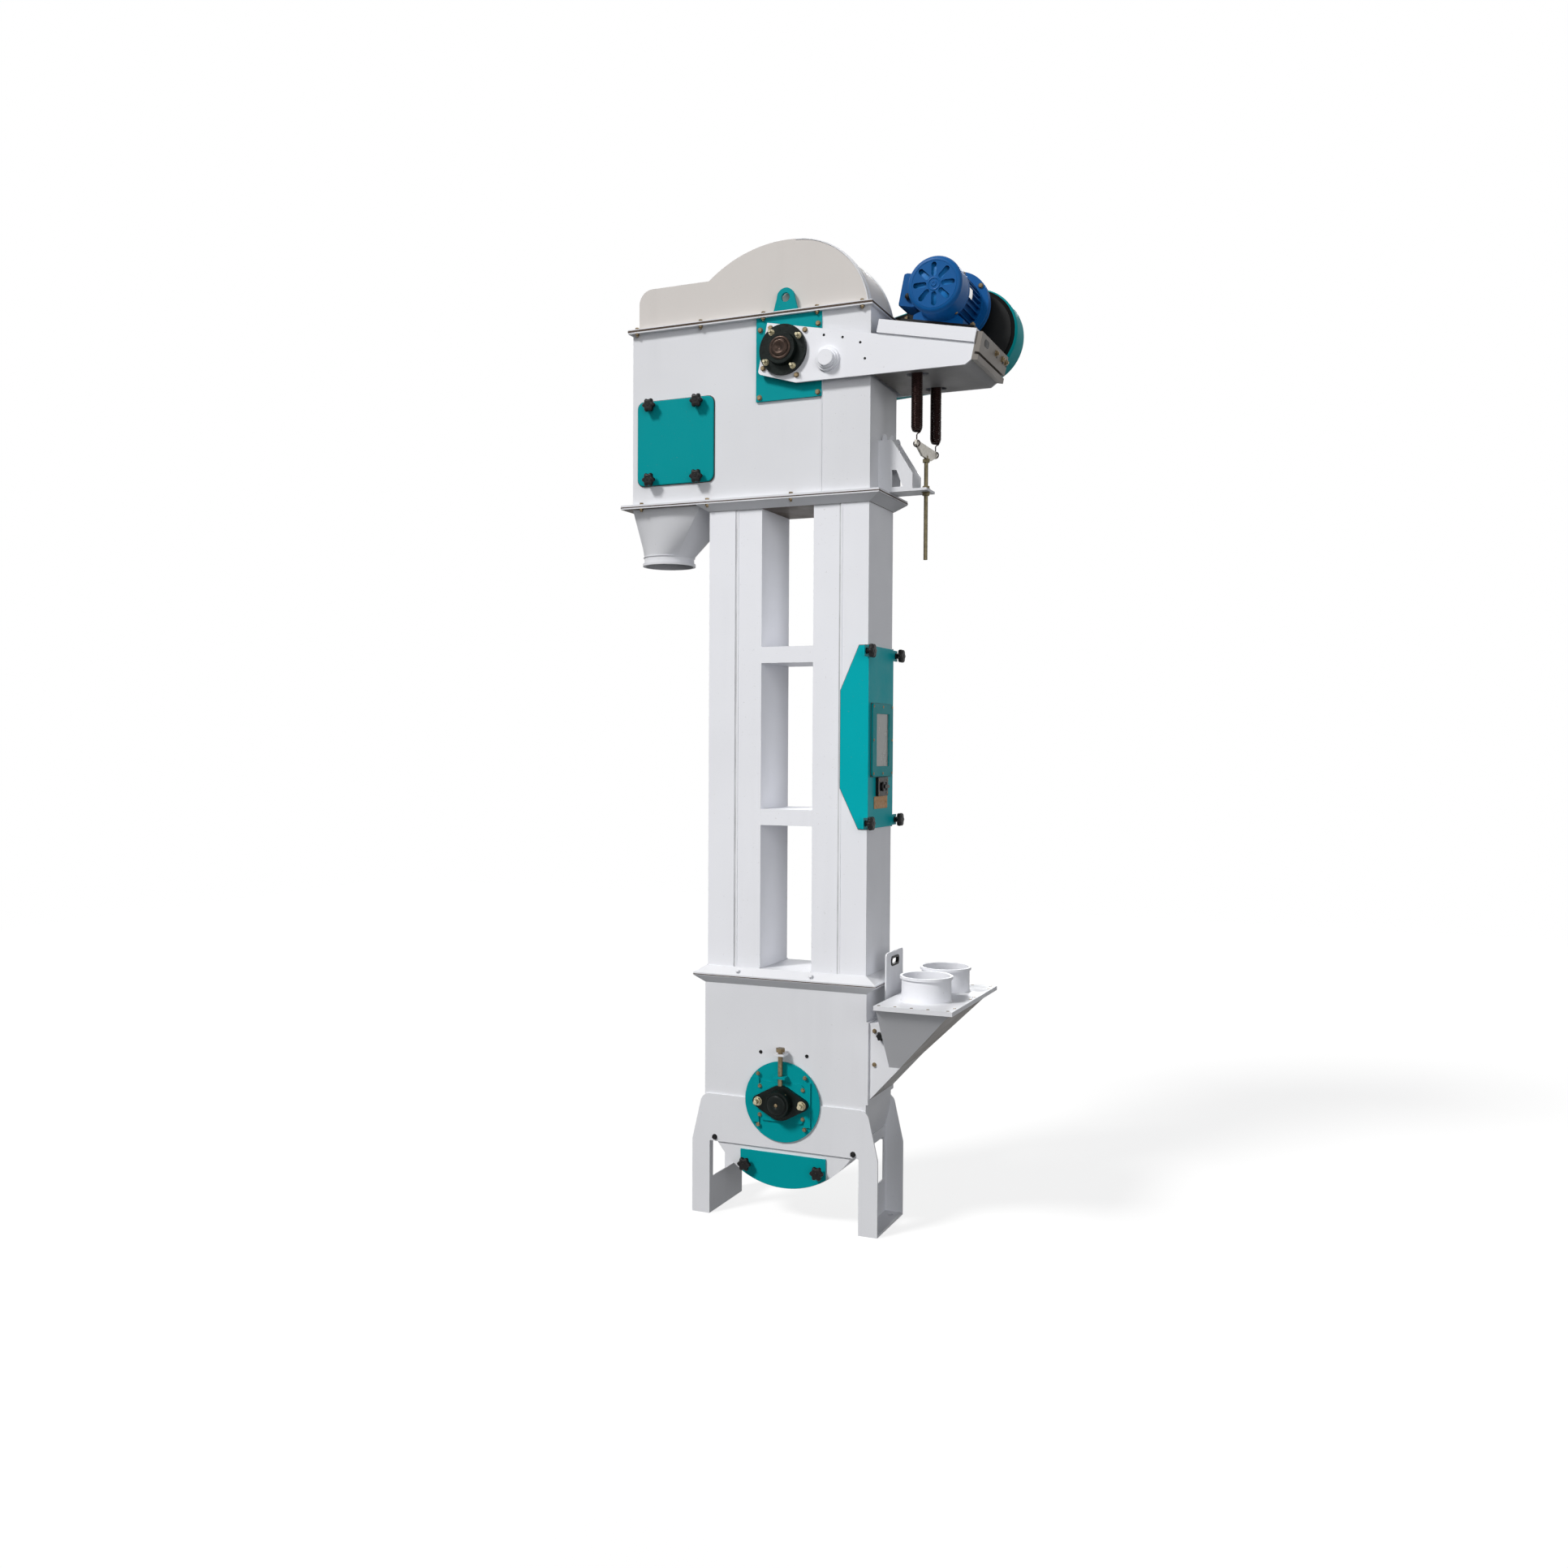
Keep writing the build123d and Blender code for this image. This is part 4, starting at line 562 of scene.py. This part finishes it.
def build_fasteners(mats):
    """Bolts of the take-up plates, bearing plates, arms and flanges, and the bearings' studs."""
    plate_bolt, flange_bolt, arm_bolt, head_stud, boot_stud = 6.75, 7.5, 8.5, 10, 14.4
    plain = bmesh.new()
    bright = bmesh.new()
    painted_over = bmesh.new()
    for side in SIDES:
        out = Vector((0, side, 0))
        for x, dz in ((85, 90), (78, 49), (78, -48), (84, -82)):
            for mirror in SIDES:
                add_bolt(plain, at(mirror * x, side * 143, BOOT_SHAFT_Z + dz), out, plate_bolt, 0.3 * mirror)
        for x in (-79, 79):
            add_bolt(bright, at(x, side * 157, BOOT_SHAFT_Z), out, boot_stud, 0.2, proud=12)
        for x, z in ((-95, 2980), (112, 2980), (112, 2758), (-97, 2758)):
            add_bolt(plain, at(x, side * 133, z), out, arm_bolt, 0.4)
        for k in range(4):
            a = math.pi / 4 + k * math.pi / 2 - TILT
            add_bolt(bright, at(0, side * 170, HEAD_SHAFT_Z) + around(a) * 69, out, head_stud, a, proud=13)
        for u, v in ((-62, 66), (62, 72), (-62, -66), (62, -74)):
            add_bolt(plain, base_at(u, side * ARM_FACE_Y, v), out, arm_bolt, u)
        for top, places in ((HOOD_FLANGE_TOP, (-560, -315, -83, 109, 266)),
                            (HEAD_FLANGE_TOP, (-541, -288, 20))):
            for x in places:
                add_bolt(plain, at(x, side * FLANGE_BOLT_Y, top), UP, flange_bolt, x)
                add_bolt(plain, at(x, side * FLANGE_BOLT_Y, top - FLANGE_PAIR), -UP, flange_bolt, x, proud=4)
        moulding_slope = Vector((0, side * 0.73, 0.68))
        for x in (-166, 101):
            add_bolt(painted_over, at(x, side * 136, 840), moulding_slope, flange_bolt, x)
    for y in (-90, 90):
        add_bolt(plain, at(-606, y, HEAD_FLANGE_TOP), UP, flange_bolt, y)
    piece("assembly_bolts", plain, mats["zinc_steel"])
    piece("bearing_studs", bright, mats["bright_zinc"])
    piece("painted_bolts", painted_over, mats["casing_white"])


def build_knobs(mats):
    """Moulded star knobs of the access door, the clean-out doors and the leg cover."""
    bm = bmesh.new()
    for dx in (-91, 91):
        for dz in (-127, 127):
            add_knob(bm, at(DOOR_X + dx, -133, DOOR_Z + dz), FORWARD, turn=dx)
    for side in SIDES:
        for x in (-132, 132):
            add_knob(bm, at(x, side * 131, 192), Vector((0, side, 0)), turn=x)
        for z in (1353, 1910):
            add_knob(bm, at(COVER_X, side * 145, z), RIGHT, turn=z)
    knobs = piece("star_knobs_moulded", bm, mats["knob_black"])
    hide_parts("star_knobs")


# Spring tensioner

def hook_points(axis, end, far, direction, coil_radius):
    """Centre line of a spring's end hook: from the coil in to the axis, then round a pin at height far."""
    loop_radius = 10.4
    points = [axis + Vector((coil_radius * share, 0, end + direction * rise))
              for share, rise in ((1, -2), (0.8, 2), (0.3, 4), (0, 8))]
    for i in range(19):
        a = math.pi * (-1 + 1.7 * i / 18)
        across, along = loop_radius * math.sin(a), loop_radius * math.cos(a)
        points.append(axis + Vector((-across, 0, far + direction * along)))
    return points


def build_springs(mats):
    """Two close-wound springs that taper into a hook at each end."""
    wire, coil_radius, taper, steps = 2.1, 16.7, 18, 18
    low, high = 2607, 2850
    hook_low, hook_high = 2571, 2884
    climb = high - low - 2 * wire
    turns = int(climb / (2.04 * wire))
    bm = bmesh.new()
    for side in SIDES:
        axis = at(SPRING_X, side * SPRING_Y, 0)
        points = []
        for i in range(turns * steps + 1):
            a = 2 * math.pi * i / steps
            z = low + wire + climb * i / (turns * steps)
            to_end = min(z - low, high - z)
            r = coil_radius * (1 if to_end > taper else 0.62 + 0.38 * math.sin(math.pi / 2 * to_end / taper))
            points.append(axis + Vector((r * math.cos(a), r * math.sin(a), z)))
        add_tube(bm, points, wire, 7)
        add_tube(bm, hook_points(axis, low, hook_low, -1, coil_radius * 0.7), wire)
        add_tube(bm, hook_points(axis, high, hook_high, 1, coil_radius * 0.7), wire)
    springs = piece("coiled_tension_springs", bm, mats["spring_steel"])
    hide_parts("tension_springs")


def build_rod(mats):
    """Threaded rod with the nuts and washers that clamp it to its bracket, and the nut under the yoke."""
    nut = 12.6
    bm = bmesh.new()
    add_thread(bm, at(SPRING_X, 0, 2212), UP, 7, 338, 2.0)
    for z in (2420.5, 2442.5):
        add_nut(bm, at(SPRING_X, 0, z), UP, nut, 9.5, z)
    for z in (2430, 2440):
        add_stack(bm, at(SPRING_X, 0, z), UP, [(14.4, 0), (15, 0.4), (15, 2), (14.4, 2.4)], 24)
    add_nut(bm, at(SPRING_X, 0, 2528), UP, nut, 12, 0.4)
    rod = piece("threaded_rod", bm, mats["rod_steel"])
    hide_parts("tension_rod")


def build_yoke(mats):
    """Plate that joins both springs to the rod, with a pressed rim round each hook hole."""
    thick = 8
    corners = ((-112, 2581), (112, 2581), (112, 2567), (45, 2541), (-45, 2541), (-112, 2567))
    bm = bmesh.new()
    add_prism(bm, [at(SPRING_X - thick / 2, y, z) for y, z in corners], RIGHT * thick, 0.9)
    for side in SIDES:
        for face in SIDES:
            add_loop(bm, at(SPRING_X + face * thick / 2, side * SPRING_Y, YOKE_PIN_Z), RIGHT * face,
                     [(5.4, -0.4), (8.4, -0.4), (8.0, 1.1), (5.8, 1.1)], 20)
    yoke = piece("spring_yoke", bm, mats["yoke_grey"])
    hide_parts("tension_rod")


# Motor

def build_fan(mats):
    """Cooling fan behind the slotted cover."""
    blades, root, tip, depth = 9, 20, 69, 36
    bm = bmesh.new()
    hub = motor_at(-100)
    add_stack(bm, hub, FORWARD, [(26, 0), (30, 4), (24, 30), (16, 36)], 32)
    add_stack(bm, hub, FORWARD, [(71, 36), (72, 37.5), (71, 39), (40, 41), (20, 43)], 48)
    for k in range(blades):
        out = around(2 * math.pi * k / blades)
        half = Vector((-out.z, 0, out.x)) * 1.2
        foot, end = hub + out * root, hub + out * tip
        add_prism(bm, [foot - half, foot + half, end + half, end - half], FORWARD * depth, 0.4)
    # the fan's lighter blue is painted light in the shade of the cover
    piece("cooling_fan", bm, mats["fan_blue"])


def build_fan_cover_pressings(mats):
    """Rings pressed into the fan cover's face, its centre boss, and the beads round its side."""
    bm = bmesh.new()
    face = motor_at(-149.6)
    add_loop(bm, face, FORWARD, [(15.0, 0), (21.5, 0), (20.6, 1.7), (18.6, 2.2), (16.4, 1.6)], 40)
    add_stack(bm, face, FORWARD, [(9.5, 0), (9.2, 1.4), (7.6, 2.3), (5.0, 2.4), (4.2, 1.0)], 28)
    add_loop(bm, face, FORWARD, [(71.5, -0.4), (75.0, -0.4), (74.2, 1.2), (72.3, 1.2)])
    for y in (-60, -136):
        add_loop(bm, motor_at(y), FORWARD, [(88.4, -3), (89.5, -2.2), (89.5, 2.2), (88.4, 3)])
    piece("fan_cover_pressings", bm, mats["motor_blue"])


def build_motor(mats):
    """Screws and bolts of the motor, its terminal lid, its foot pads and the rings of its end bell."""
    foot_height = 10
    lid_u = MOTOR_U - 86.3 - 54
    lid_thickness = 3
    bm = bmesh.new()
    for k in range(4):
        a = math.pi / 4 + k * math.pi / 2 - TILT
        add_screw(bm, motor_at(-66) + around(a) * 88.7, around(a), 6)
        add_bolt(bm, motor_at(92) + around(a) * 101, FORWARD, 8, a)
    for u in MOTOR_FEET_U:
        for y in SLIDE_RAILS_Y:
            add_bolt(bm, base_at(u, y, SLIDE_TOP + foot_height), BASE_UP, 10, u, proud=3)
    for u in (MOTOR_U - 112, MOTOR_U + 112):
        for y in SLIDE_RAILS_Y:
            add_bolt(bm, base_at(u, y, SLIDE_TOP), BASE_UP, 10, y, proud=3)
    for y in (-43, 43):
        for dv in (-43, 43):
            add_screw(bm, base_at(lid_u - lid_thickness, y, MOTOR_V + dv), -BASE_ALONG, 5)
    piece("motor_fixings", bm, mats["zinc_steel"])

    bm = bmesh.new()
    lid = rect(base_at(lid_u, 0, MOTOR_V), BACKWARD, BASE_UP, 103, 103, 8)
    add_prism(bm, lid, -BASE_ALONG * lid_thickness, 1.0)
    for u in MOTOR_FEET_U:
        for y in SLIDE_RAILS_Y:
            foot = rect(base_at(u, y, SLIDE_TOP), BACKWARD, BASE_ALONG, 34, 34, 5)
            add_prism(bm, foot, BASE_UP * foot_height, 1.5)
    for y, radius in ((95.5, 110), (115.5, 110), (143, 95.6)):
        add_loop(bm, motor_at(y), BACKWARD, [(radius - 1, -2.6), (radius + 1.6, -1.6), (radius + 1.6, 1.6),
                                             (radius - 1, 2.6)])
    add_loop(bm, motor_at(92), FORWARD, [(84, -1), (91, -1), (90, 3), (85.6, 3)])
    piece("motor_lid_and_feet", bm, mats["motor_blue"])


def build_gland(mats):
    """Closed cable gland on the terminal box."""
    bm = bmesh.new()
    place = base_at(MOTOR_U - 113, -52, MOTOR_V - 22)
    add_nut(bm, place, FORWARD, 12, 7)
    add_stack(bm, place, FORWARD, [(9, 6), (9, 12), (7, 15), (3, 15.5)], 20)
    piece("blank_cable_gland", bm, mats["knob_black"])


def build_motor_plate(mats):
    """Blank plate bent round the motor's side."""
    front, back, radius, thick = -49, -18, 87.2, 0.9
    bm = bmesh.new()
    section = ((front, radius), (front, radius + thick), (back, radius + thick), (back, radius))
    turns = [math.radians(angle) for angle in (-15, -10, -5, 0, 5)]
    skin(bm, [[motor_at(y) + around(t) * r for y, r in section] for t in turns], smooth=False)
    piece("blank_motor_plate", bm, mats["plate_aluminium"])


# Sheet-metal details

def build_gaskets(mats):
    """Gaskets between the flanges, and round the access door and the sight frame. The one at the hood's
    flange is drawn taller than the joint: partly gasket and partly painted shade under the flange.
    """
    bm = bmesh.new()
    depth, proud, inset = 290, 1.2, 0.6
    # the first row, at the hood's flange, is 6.4 high: partly gasket, partly painted shade
    for x, width, z, height in ((-144.5, 895, 3023.6, 6.4), (-143.9, 949, 2422.4, 3.2), (0, 660, 820.6, 2.8)):
        add_frame(bm, at(x, 0, z), RIGHT, BACKWARD, (width + proud, depth + proud),
                  (width - inset, depth - inset), UP * height)
    add_frame(bm, at(DOOR_X, -125, DOOR_Z), RIGHT, UP, (296, 292, 24), (262, 258, 12), FORWARD * 2.6)
    add_frame(bm, at(COVER_X, 0, SIGHT_Z), BACKWARD, UP, (203, 243, 4), (160, 200, 4), RIGHT * 1.6)
    piece("joint_gaskets_and_flange_shade", bm, mats["gasket_rubber"])


def build_hood_seams(mats):
    """Rolled edges of the hood, and weld beads on hood, head, bracket and trunk feet."""
    bm = bmesh.new()
    for side in SIDES:
        add_tube(bm, arc_points(HOOD_X, HOOD_Z, 264.8, 6, 88, side * 124.6), 2.2)
        for y in (112, 100):
            add_tube(bm, arc_points(HOOD_X, HOOD_Z, 266.6, 8, 70, side * y), 3.0)
        add_bead(bm, at(-560, side * 125.5, 3034), at(284, side * 125.5, 3034), 3.0)
        add_bead(bm, at(125, side * 129, 2433), at(125, side * 129, 3018), 1.8)
        add_bead(bm, at(293.5, side * 45, 2441), at(293.5, side * 45, 2602), 2.6)
        for x in (-287.5, -93.5, 93.5, 287.5):
            add_bead(bm, at(x, side * 115, 829), at(x, side * 115, 846), 2.0)
        for x in (-290, -95, 95, 290):
            inward = 3 if x < 0 else -3
            add_bead(bm, at(x, side * 119, 853), at(x + inward, side * 119, 853.5), 2.0)
    piece("hood_and_casing_welds", bm, mats["casing_white"])


def build_trunk_seams(mats):
    """Laps down the middle of both legs, front and back, each beside a darker grey strip: painted shade for
    the seam's groove.
    """
    groove_shade = bmesh.new()
    laps = bmesh.new()
    low, high = 852, 2402
    middle, length = (low + high) / 2, high - low
    for side in SIDES:
        out = Vector((0, side, 0))
        for groove_x, lap_x, lap_y in ((-187.4, -181.5, TRUNK_FACE_Y), (187.4, 193.5, TRUNK_FACE_Y + 2.5)):
            # painted shade: a darker strip where the seam's groove is in shade
            groove = rect(at(groove_x, side * TRUNK_FACE_Y, middle), RIGHT, UP, 5.6, length)
            add_prism(groove_shade, groove, out * 0.9, 0.3)
            lap = rect(at(lap_x, side * lap_y, middle), RIGHT, UP, 5.4, length)
            add_prism(laps, lap, out * 1.5, 1.2)
    piece("leg_seam_painted_shade", groove_shade, mats["seam_shade_grey"])
    piece("leg_seam_laps", laps, mats["casing_white_painted_light"])


def build_collar_welds(mats):
    """Weld fillets at the foot of each spout collar, and the rolled beads under the inlets' rims."""
    bm = bmesh.new()
    for side in SIDES:
        add_loop(bm, at(COLLAR_X, side * COLLAR_Y, 786), UP, [(79.5, 0), (84.5, 0), (82.6, 1.6), (80, 4.4)])
        add_loop(bm, at(COLLAR_X, side * COLLAR_Y, 858), UP,
                 [(79.6, 0), (82.5, 0.5), (82.5, 2.2), (79.6, 2.8)])
    add_loop(bm, at(SPOUT_X, 0, 2262), -UP, [(87.5, 0), (91.5, 0), (90.2, 1.6), (88, 4)])
    piece("collar_welds", bm, mats["casing_white"])


def build_cover_details(mats):
    """Screws, blank plate and latch turn on the leg cover."""
    bm = bmesh.new()
    frame_y, frame_z = 90, 110
    for dy, dz in ((-1, 1), (1, 1), (-1, -1), (1, -1), (0, 1), (0, -1), (-1, 0), (1, 0)):
        add_screw(bm, at(299.5, dy * frame_y, SIGHT_Z + dz * frame_z), RIGHT, 5)
    for y in (-57, 57):
        add_screw(bm, at(293, y, BLANK_PLATE_Z), RIGHT, 3.4)
    for y in (-40, 40):
        for z in (LATCH_Z - 21, LATCH_Z + 21):
            add_screw(bm, at(301.5, y, z), RIGHT, 3.6)
    piece("cover_screws", bm, mats["zinc_steel"])

    bm = bmesh.new()
    plate = rect(at(COVER_X, 0, BLANK_PLATE_Z + 0.5), BACKWARD, UP, 131, 41, 4)
    add_prism(bm, plate, RIGHT * 1.5, 0.4)
    piece("blank_brass_plate", bm, mats["plate_brass"])

    bm = bmesh.new()
    add_stack(bm, at(297, 0, LATCH_Z), RIGHT, [(15, 0), (16, 1), (16, 7), (14, 9), (9, 9.4), (7.5, 7.6)], 32)
    lever = rect(at(306, 18, LATCH_Z), BACKWARD, UP, 44, 11, 5)
    add_prism(bm, lever, RIGHT * 4, 1.2)
    piece("latch_turn", bm, mats["latch_black"])


def build_bearing_caps(mats):
    """Domed black caps on the boot's bearings, and stepped oily collars with a key at the head's."""
    black = bmesh.new()
    oily = bmesh.new()
    bright = bmesh.new()
    cap = [(33, -0.5), (33, 3), (30, 5.5), (20, 7), (9, 7.4), (8, 5.6)]
    centre = [(6.2, 5.4), (6.2, 7.2), (4.4, 8.6), (2.0, 8.8)]
    collar = [(38, -0.5), (38, 2), (35, 4), (30, 4), (29, 2.2), (26.5, 2.2), (26, 7), (23.5, 8.6), (16, 8.6),
              (14.5, 6.8), (9, 6.8), (7.6, 5), (3, 4.6)]
    for side in SIDES:
        out = Vector((0, side, 0))
        boot = at(0, side * 183, BOOT_SHAFT_Z)
        add_stack(black, boot, out, cap, 40)
        add_stack(bright, boot, out, centre, 20)
        for k in range(3):
            add_screw(black, boot + around(2 * math.pi * k / 3 + 0.5) * 39, out, 3.4)
        head = at(0, side * 190, HEAD_SHAFT_Z)
        add_stack(oily, head, out, collar, 48)
        key = rect(head + out * 8.4 + UP * 19, RIGHT, UP, 9, 7, 1.5)
        add_prism(oily, key, out * 2.4, 0.6)
    piece("boot_bearing_caps", black, mats["bearing_black"])
    piece("head_bearing_collars", oily, mats["oily_steel"])
    piece("boot_shaft_centres", bright, mats["zinc_steel"])


def build_pivot_bush(mats):
    """Stepped bush on the front arm: a round end on two flanges."""
    bm = bmesh.new()
    profile = [(40, -0.3), (40, 7.6), (38.6, 8.8), (33, 8.8), (33, 15.8), (31.8, 16.8), (27, 16.8),
               (27, 25.2), (26.2, 26.4), (24.6, 26.9)]
    add_stack(bm, at(155, -ARM_FACE_Y, 2855), FORWARD, profile, 72, smooth=False)
    piece("pivot_bush", bm, mats["casing_white_painted_light"])


def build_cover_shadow_strip(mats):
    """Dark strip round the cheeks of the leg cover, in the gasket rubber: painted shade along the cover's
    edges.
    """
    bm = bmesh.new()
    corners = ((291, 1930), (258, 1930), (194, 1784), (194, 1465), (258, 1333), (291, 1333))
    width, thick, overlap = 2.2, 2.4, 1
    for side in SIDES:
        cheek = side * 117.4
        inside = at(270, cheek, 1630)
        for (x0, z0), (x1, z1) in zip(corners, corners[1:]):
            start, end = at(x0, cheek, z0), at(x1, cheek, z1)
            along = (end - start).normalized()
            away = along.cross(BACKWARD).normalized() * width
            if away.dot(start - inside) < 0:
                away = -away
            start, end = start - along * overlap, end + along * overlap
            add_prism(bm, [start, end, end + away, start + away], Vector((0, side * thick, 0)))
    piece("cover_shadow_strip", bm, mats["gasket_rubber"])


def build_bracket_ears(mats):
    """Two pairs of upright ears on top of the spring bracket's box."""
    bm = bmesh.new()
    foot_z = 2602
    for x, height in ((309, 22), (333, 16)):
        outline = ((-9, 0), (9, 0), (7, 0.6), (2.5, 1), (-3.5, 1), (-8, 0.55))
        for y in (-34, 27):
            add_prism(bm, [at(x + dx, y, foot_z + rise * height) for dx, rise in outline], BACKWARD * 7, 0.8)
    piece("bracket_ears", bm, mats["casing_white"])


def build_gate_grip(mats):
    """Black edging pressed round the grip slot of the feed gate; it moves with the gate."""
    low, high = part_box("feed_gate")
    lip = 2.6
    thick = (high[0] - low[0]) / MM
    start = at(low[0] / MM - lip, 0, GATE_GRIP_Z)
    bm = bmesh.new()
    add_frame(bm, start, BACKWARD, UP, (78, 32, 12), (62, 18, 8), RIGHT * (thick + 2 * lip))
    piece("gate_grip_edging", bm, mats["knob_black"], GATE)


# Small parts

def add_grease_nipples(bm, side):
    """A nipple on the hub of each bearing, leaning to the right."""
    lean = around(math.radians(52))
    nipple = [(4.4, 0), (4.4, 3.4), (2.8, 4.2), (2.8, 8), (3.4, 9), (2.0, 11.6)]
    for z, hub_y, hub_radius in ((HEAD_SHAFT_Z, 178, 40), (BOOT_SHAFT_Z, 170, 34)):
        add_stack(bm, at(0, side * hub_y, z) + lean * (hub_radius - 1), lean, nipple, 12)


def add_end_rail_details(steel, dark):
    """Bolts, plugged holes and a dark patch in the rail at the end of the drive base: the patch is painted
    shade for a slot.
    """
    rail_u = 660
    for y, turn in ((15, 0.2), (88, 0.7), (132, 0.1)):
        add_bolt(steel, base_at(rail_u, y, 97), BASE_ALONG, 10, turn, proud=3)
        add_stack(dark, base_at(rail_u, y + 17, 92), BASE_ALONG, [(7, -0.5), (7, 0.8), (5, 0.4)], 20)
    # painted shade: a dark plate laid on the rail where its slot is
    slot = rect(base_at(rail_u - 0.6, -94, 97), BACKWARD, BASE_UP, 50, 22, 10)
    add_prism(dark, slot, BASE_ALONG * 1.4, 0.5)


def add_guard_screws(bm):
    """Two rows of screws along the straight edges of the belt guard's back plate."""
    run, rise, near_reach, far_reach = 545, 80, 76, 139
    for k in range(5):
        share = 0.08 + 0.22 * k
        reach = near_reach + (far_reach - near_reach) * share
        for side in SIDES:
            add_screw(bm, at(run * share, 161.6, HEAD_SHAFT_Z + rise * share + side * reach), FORWARD, 5)


def build_small_parts(mats):
    """Grease nipples, plugs, small bolts and the chute's knobs, in steel and in black."""
    steel = bmesh.new()
    dark = bmesh.new()
    for side in SIDES:
        out = Vector((0, side, 0))
        add_grease_nipples(steel, side)
        for x, z in ((141, 2933), (206, 2919), (267, 2896), (283, 2843)):
            add_stack(dark, at(x, side * ARM_FACE_Y, z), out,
                      [(4.4, -0.5), (4.2, 0.5), (2.6, 0.7), (2.2, 0.1)], 16)
        for x in (-84, 84):
            add_stack(dark, at(x, side * 125, 572), out,
                      [(6.4, -0.5), (6.2, 1.2), (4.6, 2.2), (3.0, 2.4), (2.6, 1.0)], 18)
        for x in (-252, 252):
            add_bolt(dark, at(x, side * 131, 266), out, 9, x)
        add_knob(dark, at(345, side * 120, 663), out, 13)
        for z in (566, 676):
            add_bolt(steel, at(320, side * 120, z), out, 7)
        for x in (380, 434, 488, 542, 606):
            add_bolt(steel, at(x, side * 252, HOPPER_BOLT_Z), UP, 6, x)
    for y in (-200, -20, 20, 200):
        add_bolt(steel, at(612, y, HOPPER_BOLT_Z), UP, 6, y)
    add_end_rail_details(steel, dark)
    add_guard_screws(steel)
    piece("small_steel_parts", steel, mats["zinc_steel"])
    piece("small_dark_parts", dark, mats["knob_black"])


# Light and floor

def build_world():
    """White to the camera and to mirrored or refracted rays, and a dim cool light to everything else."""
    world = bpy.data.worlds.new("studio_world")
    bpy.context.scene.world = world
    world.use_nodes = True
    tree = world.node_tree
    tree.nodes.clear()
    paths = tree.nodes.new("ShaderNodeLightPath")
    highest = paths.outputs["Is Camera Ray"]
    for name in ("Is Glossy Ray", "Is Transmission Ray"):
        top = tree.nodes.new("ShaderNodeMath")
        top.operation = "MAXIMUM"
        tree.links.new(highest, top.inputs[0])
        tree.links.new(paths.outputs[name], top.inputs[1])
        highest = top.outputs["Value"]
    mix = tree.nodes.new("ShaderNodeMixShader")
    tree.links.new(highest, mix.inputs[0])
    for socket, colour, strength in ((1, (0.97, 0.98, 1.0, 1.0), 0.20), (2, grey(1.0), 1.0)):
        background = tree.nodes.new("ShaderNodeBackground")
        background.inputs["Color"].default_value = colour
        background.inputs["Strength"].default_value = strength
        tree.links.new(background.outputs[0], mix.inputs[socket])
    out = tree.nodes.new("ShaderNodeOutputWorld")
    tree.links.new(mix.outputs[0], out.inputs["Surface"])


def place_lights():
    """A key from the front left, a fill from the front right and a narrow light from behind."""
    cool = (0.97, 0.985, 1.0)
    for name, energy, angle, colour, direction in (
            ("key_light", 2.55, 12, (1.0, 0.99, 0.975), (0.40, 0.62, -0.67)),
            ("fill_light", 0.92, 45, cool, (-0.62, 0.75, -0.12)),
            ("back_light", 0.8, 14, cool, (0.20, -0.93, -0.31))):
        sun = bpy.data.lights.new(name, "SUN")
        sun.energy = energy
        sun.angle = math.radians(angle)
        sun.color = colour
        lamp = bpy.data.objects.new(name, sun)
        bpy.context.scene.collection.objects.link(lamp)
        lamp.rotation_euler = Vector(direction).to_track_quat("-Z", "Y").to_euler()


def build_floor():
    """White floor that keeps the shadow, and darkens the light that it throws back on the machine."""
    width, thick = 18000, 20
    bm = bmesh.new()
    add_prism(bm, rect(at(0, 0, -thick), RIGHT, BACKWARD, width, width), UP * thick)
    mesh = bpy.data.meshes.new("studio_floor")
    bmesh.ops.recalc_face_normals(bm, faces=bm.faces)
    bm.to_mesh(mesh)
    bm.free()
    floor = bpy.data.objects.new("studio_floor", mesh)
    bpy.context.scene.collection.objects.link(floor)
    g = Graph("studio_floor_white")
    paths = g.new("ShaderNodeLightPath")
    seen = g.math("MAXIMUM", paths.outputs["Is Camera Ray"], paths.outputs["Is Glossy Ray"])
    tone = g.mix(g.noise(3.0, 2.0), grey(0.25), grey(0.26))
    g.finish(g.mix(seen, grey(0.05), tone), 0.9, g.bump(g.noise(200.0, 2.0), 0.05, 0.0005),
             Specular_IOR_Level=0.0, Emission_Color=grey(1.0),
             Emission_Strength=g.math("MULTIPLY", seen, 0.80))
    mesh.materials.append(g.mat)


def paint(node, material):
    for slot in nodes[node].material_slots:
        slot.material = material


def main():
    place_camera()
    build_world()
    place_lights()
    build_floor()
    bpy.context.scene.view_settings.view_transform = "Standard"
    mats = build_materials()
    for entry in frame["record"]["subparts"]:
        paint(entry["node"], mats[entry["material_slot"]])
    finishes = {
        "guard_two_tone": ("belt_guard",),
        # painted light: the brighter teal on the leg cover
        "machine_teal_painted_light": ("leg_cover",),
        # painted shade: the darker white on the hood
        "casing_white_painted_shade": ("head_hood",),
        # painted light: the brighter white on the legs, ties, arms, platform and collars
        "casing_white_painted_light": ("left_trunk", "right_trunk", "trunk_ties", "drive_arms", "motor_platform",
                      "inlet_collars"),
        # painted shade on the downward faces of these parts
        "base_shaded_below": ("drive_base",),
        "inlet_shaded_below": ("inlet_hopper", "inlet_chute"),
        "head_shaded_below": ("head_base",),
    }
    for finish, names in finishes.items():
        for name in names:
            paint(name, mats[finish])
    for build in (build_fasteners, build_knobs, build_springs, build_rod, build_yoke, build_fan,
                  build_fan_cover_pressings, build_motor, build_gland, build_motor_plate, build_gaskets,
                  build_hood_seams, build_trunk_seams, build_collar_welds, build_cover_details,
                  build_bearing_caps, build_pivot_bush, build_cover_shadow_strip, build_bracket_ears, build_gate_grip,
                  build_small_parts):
        build(mats)


main()
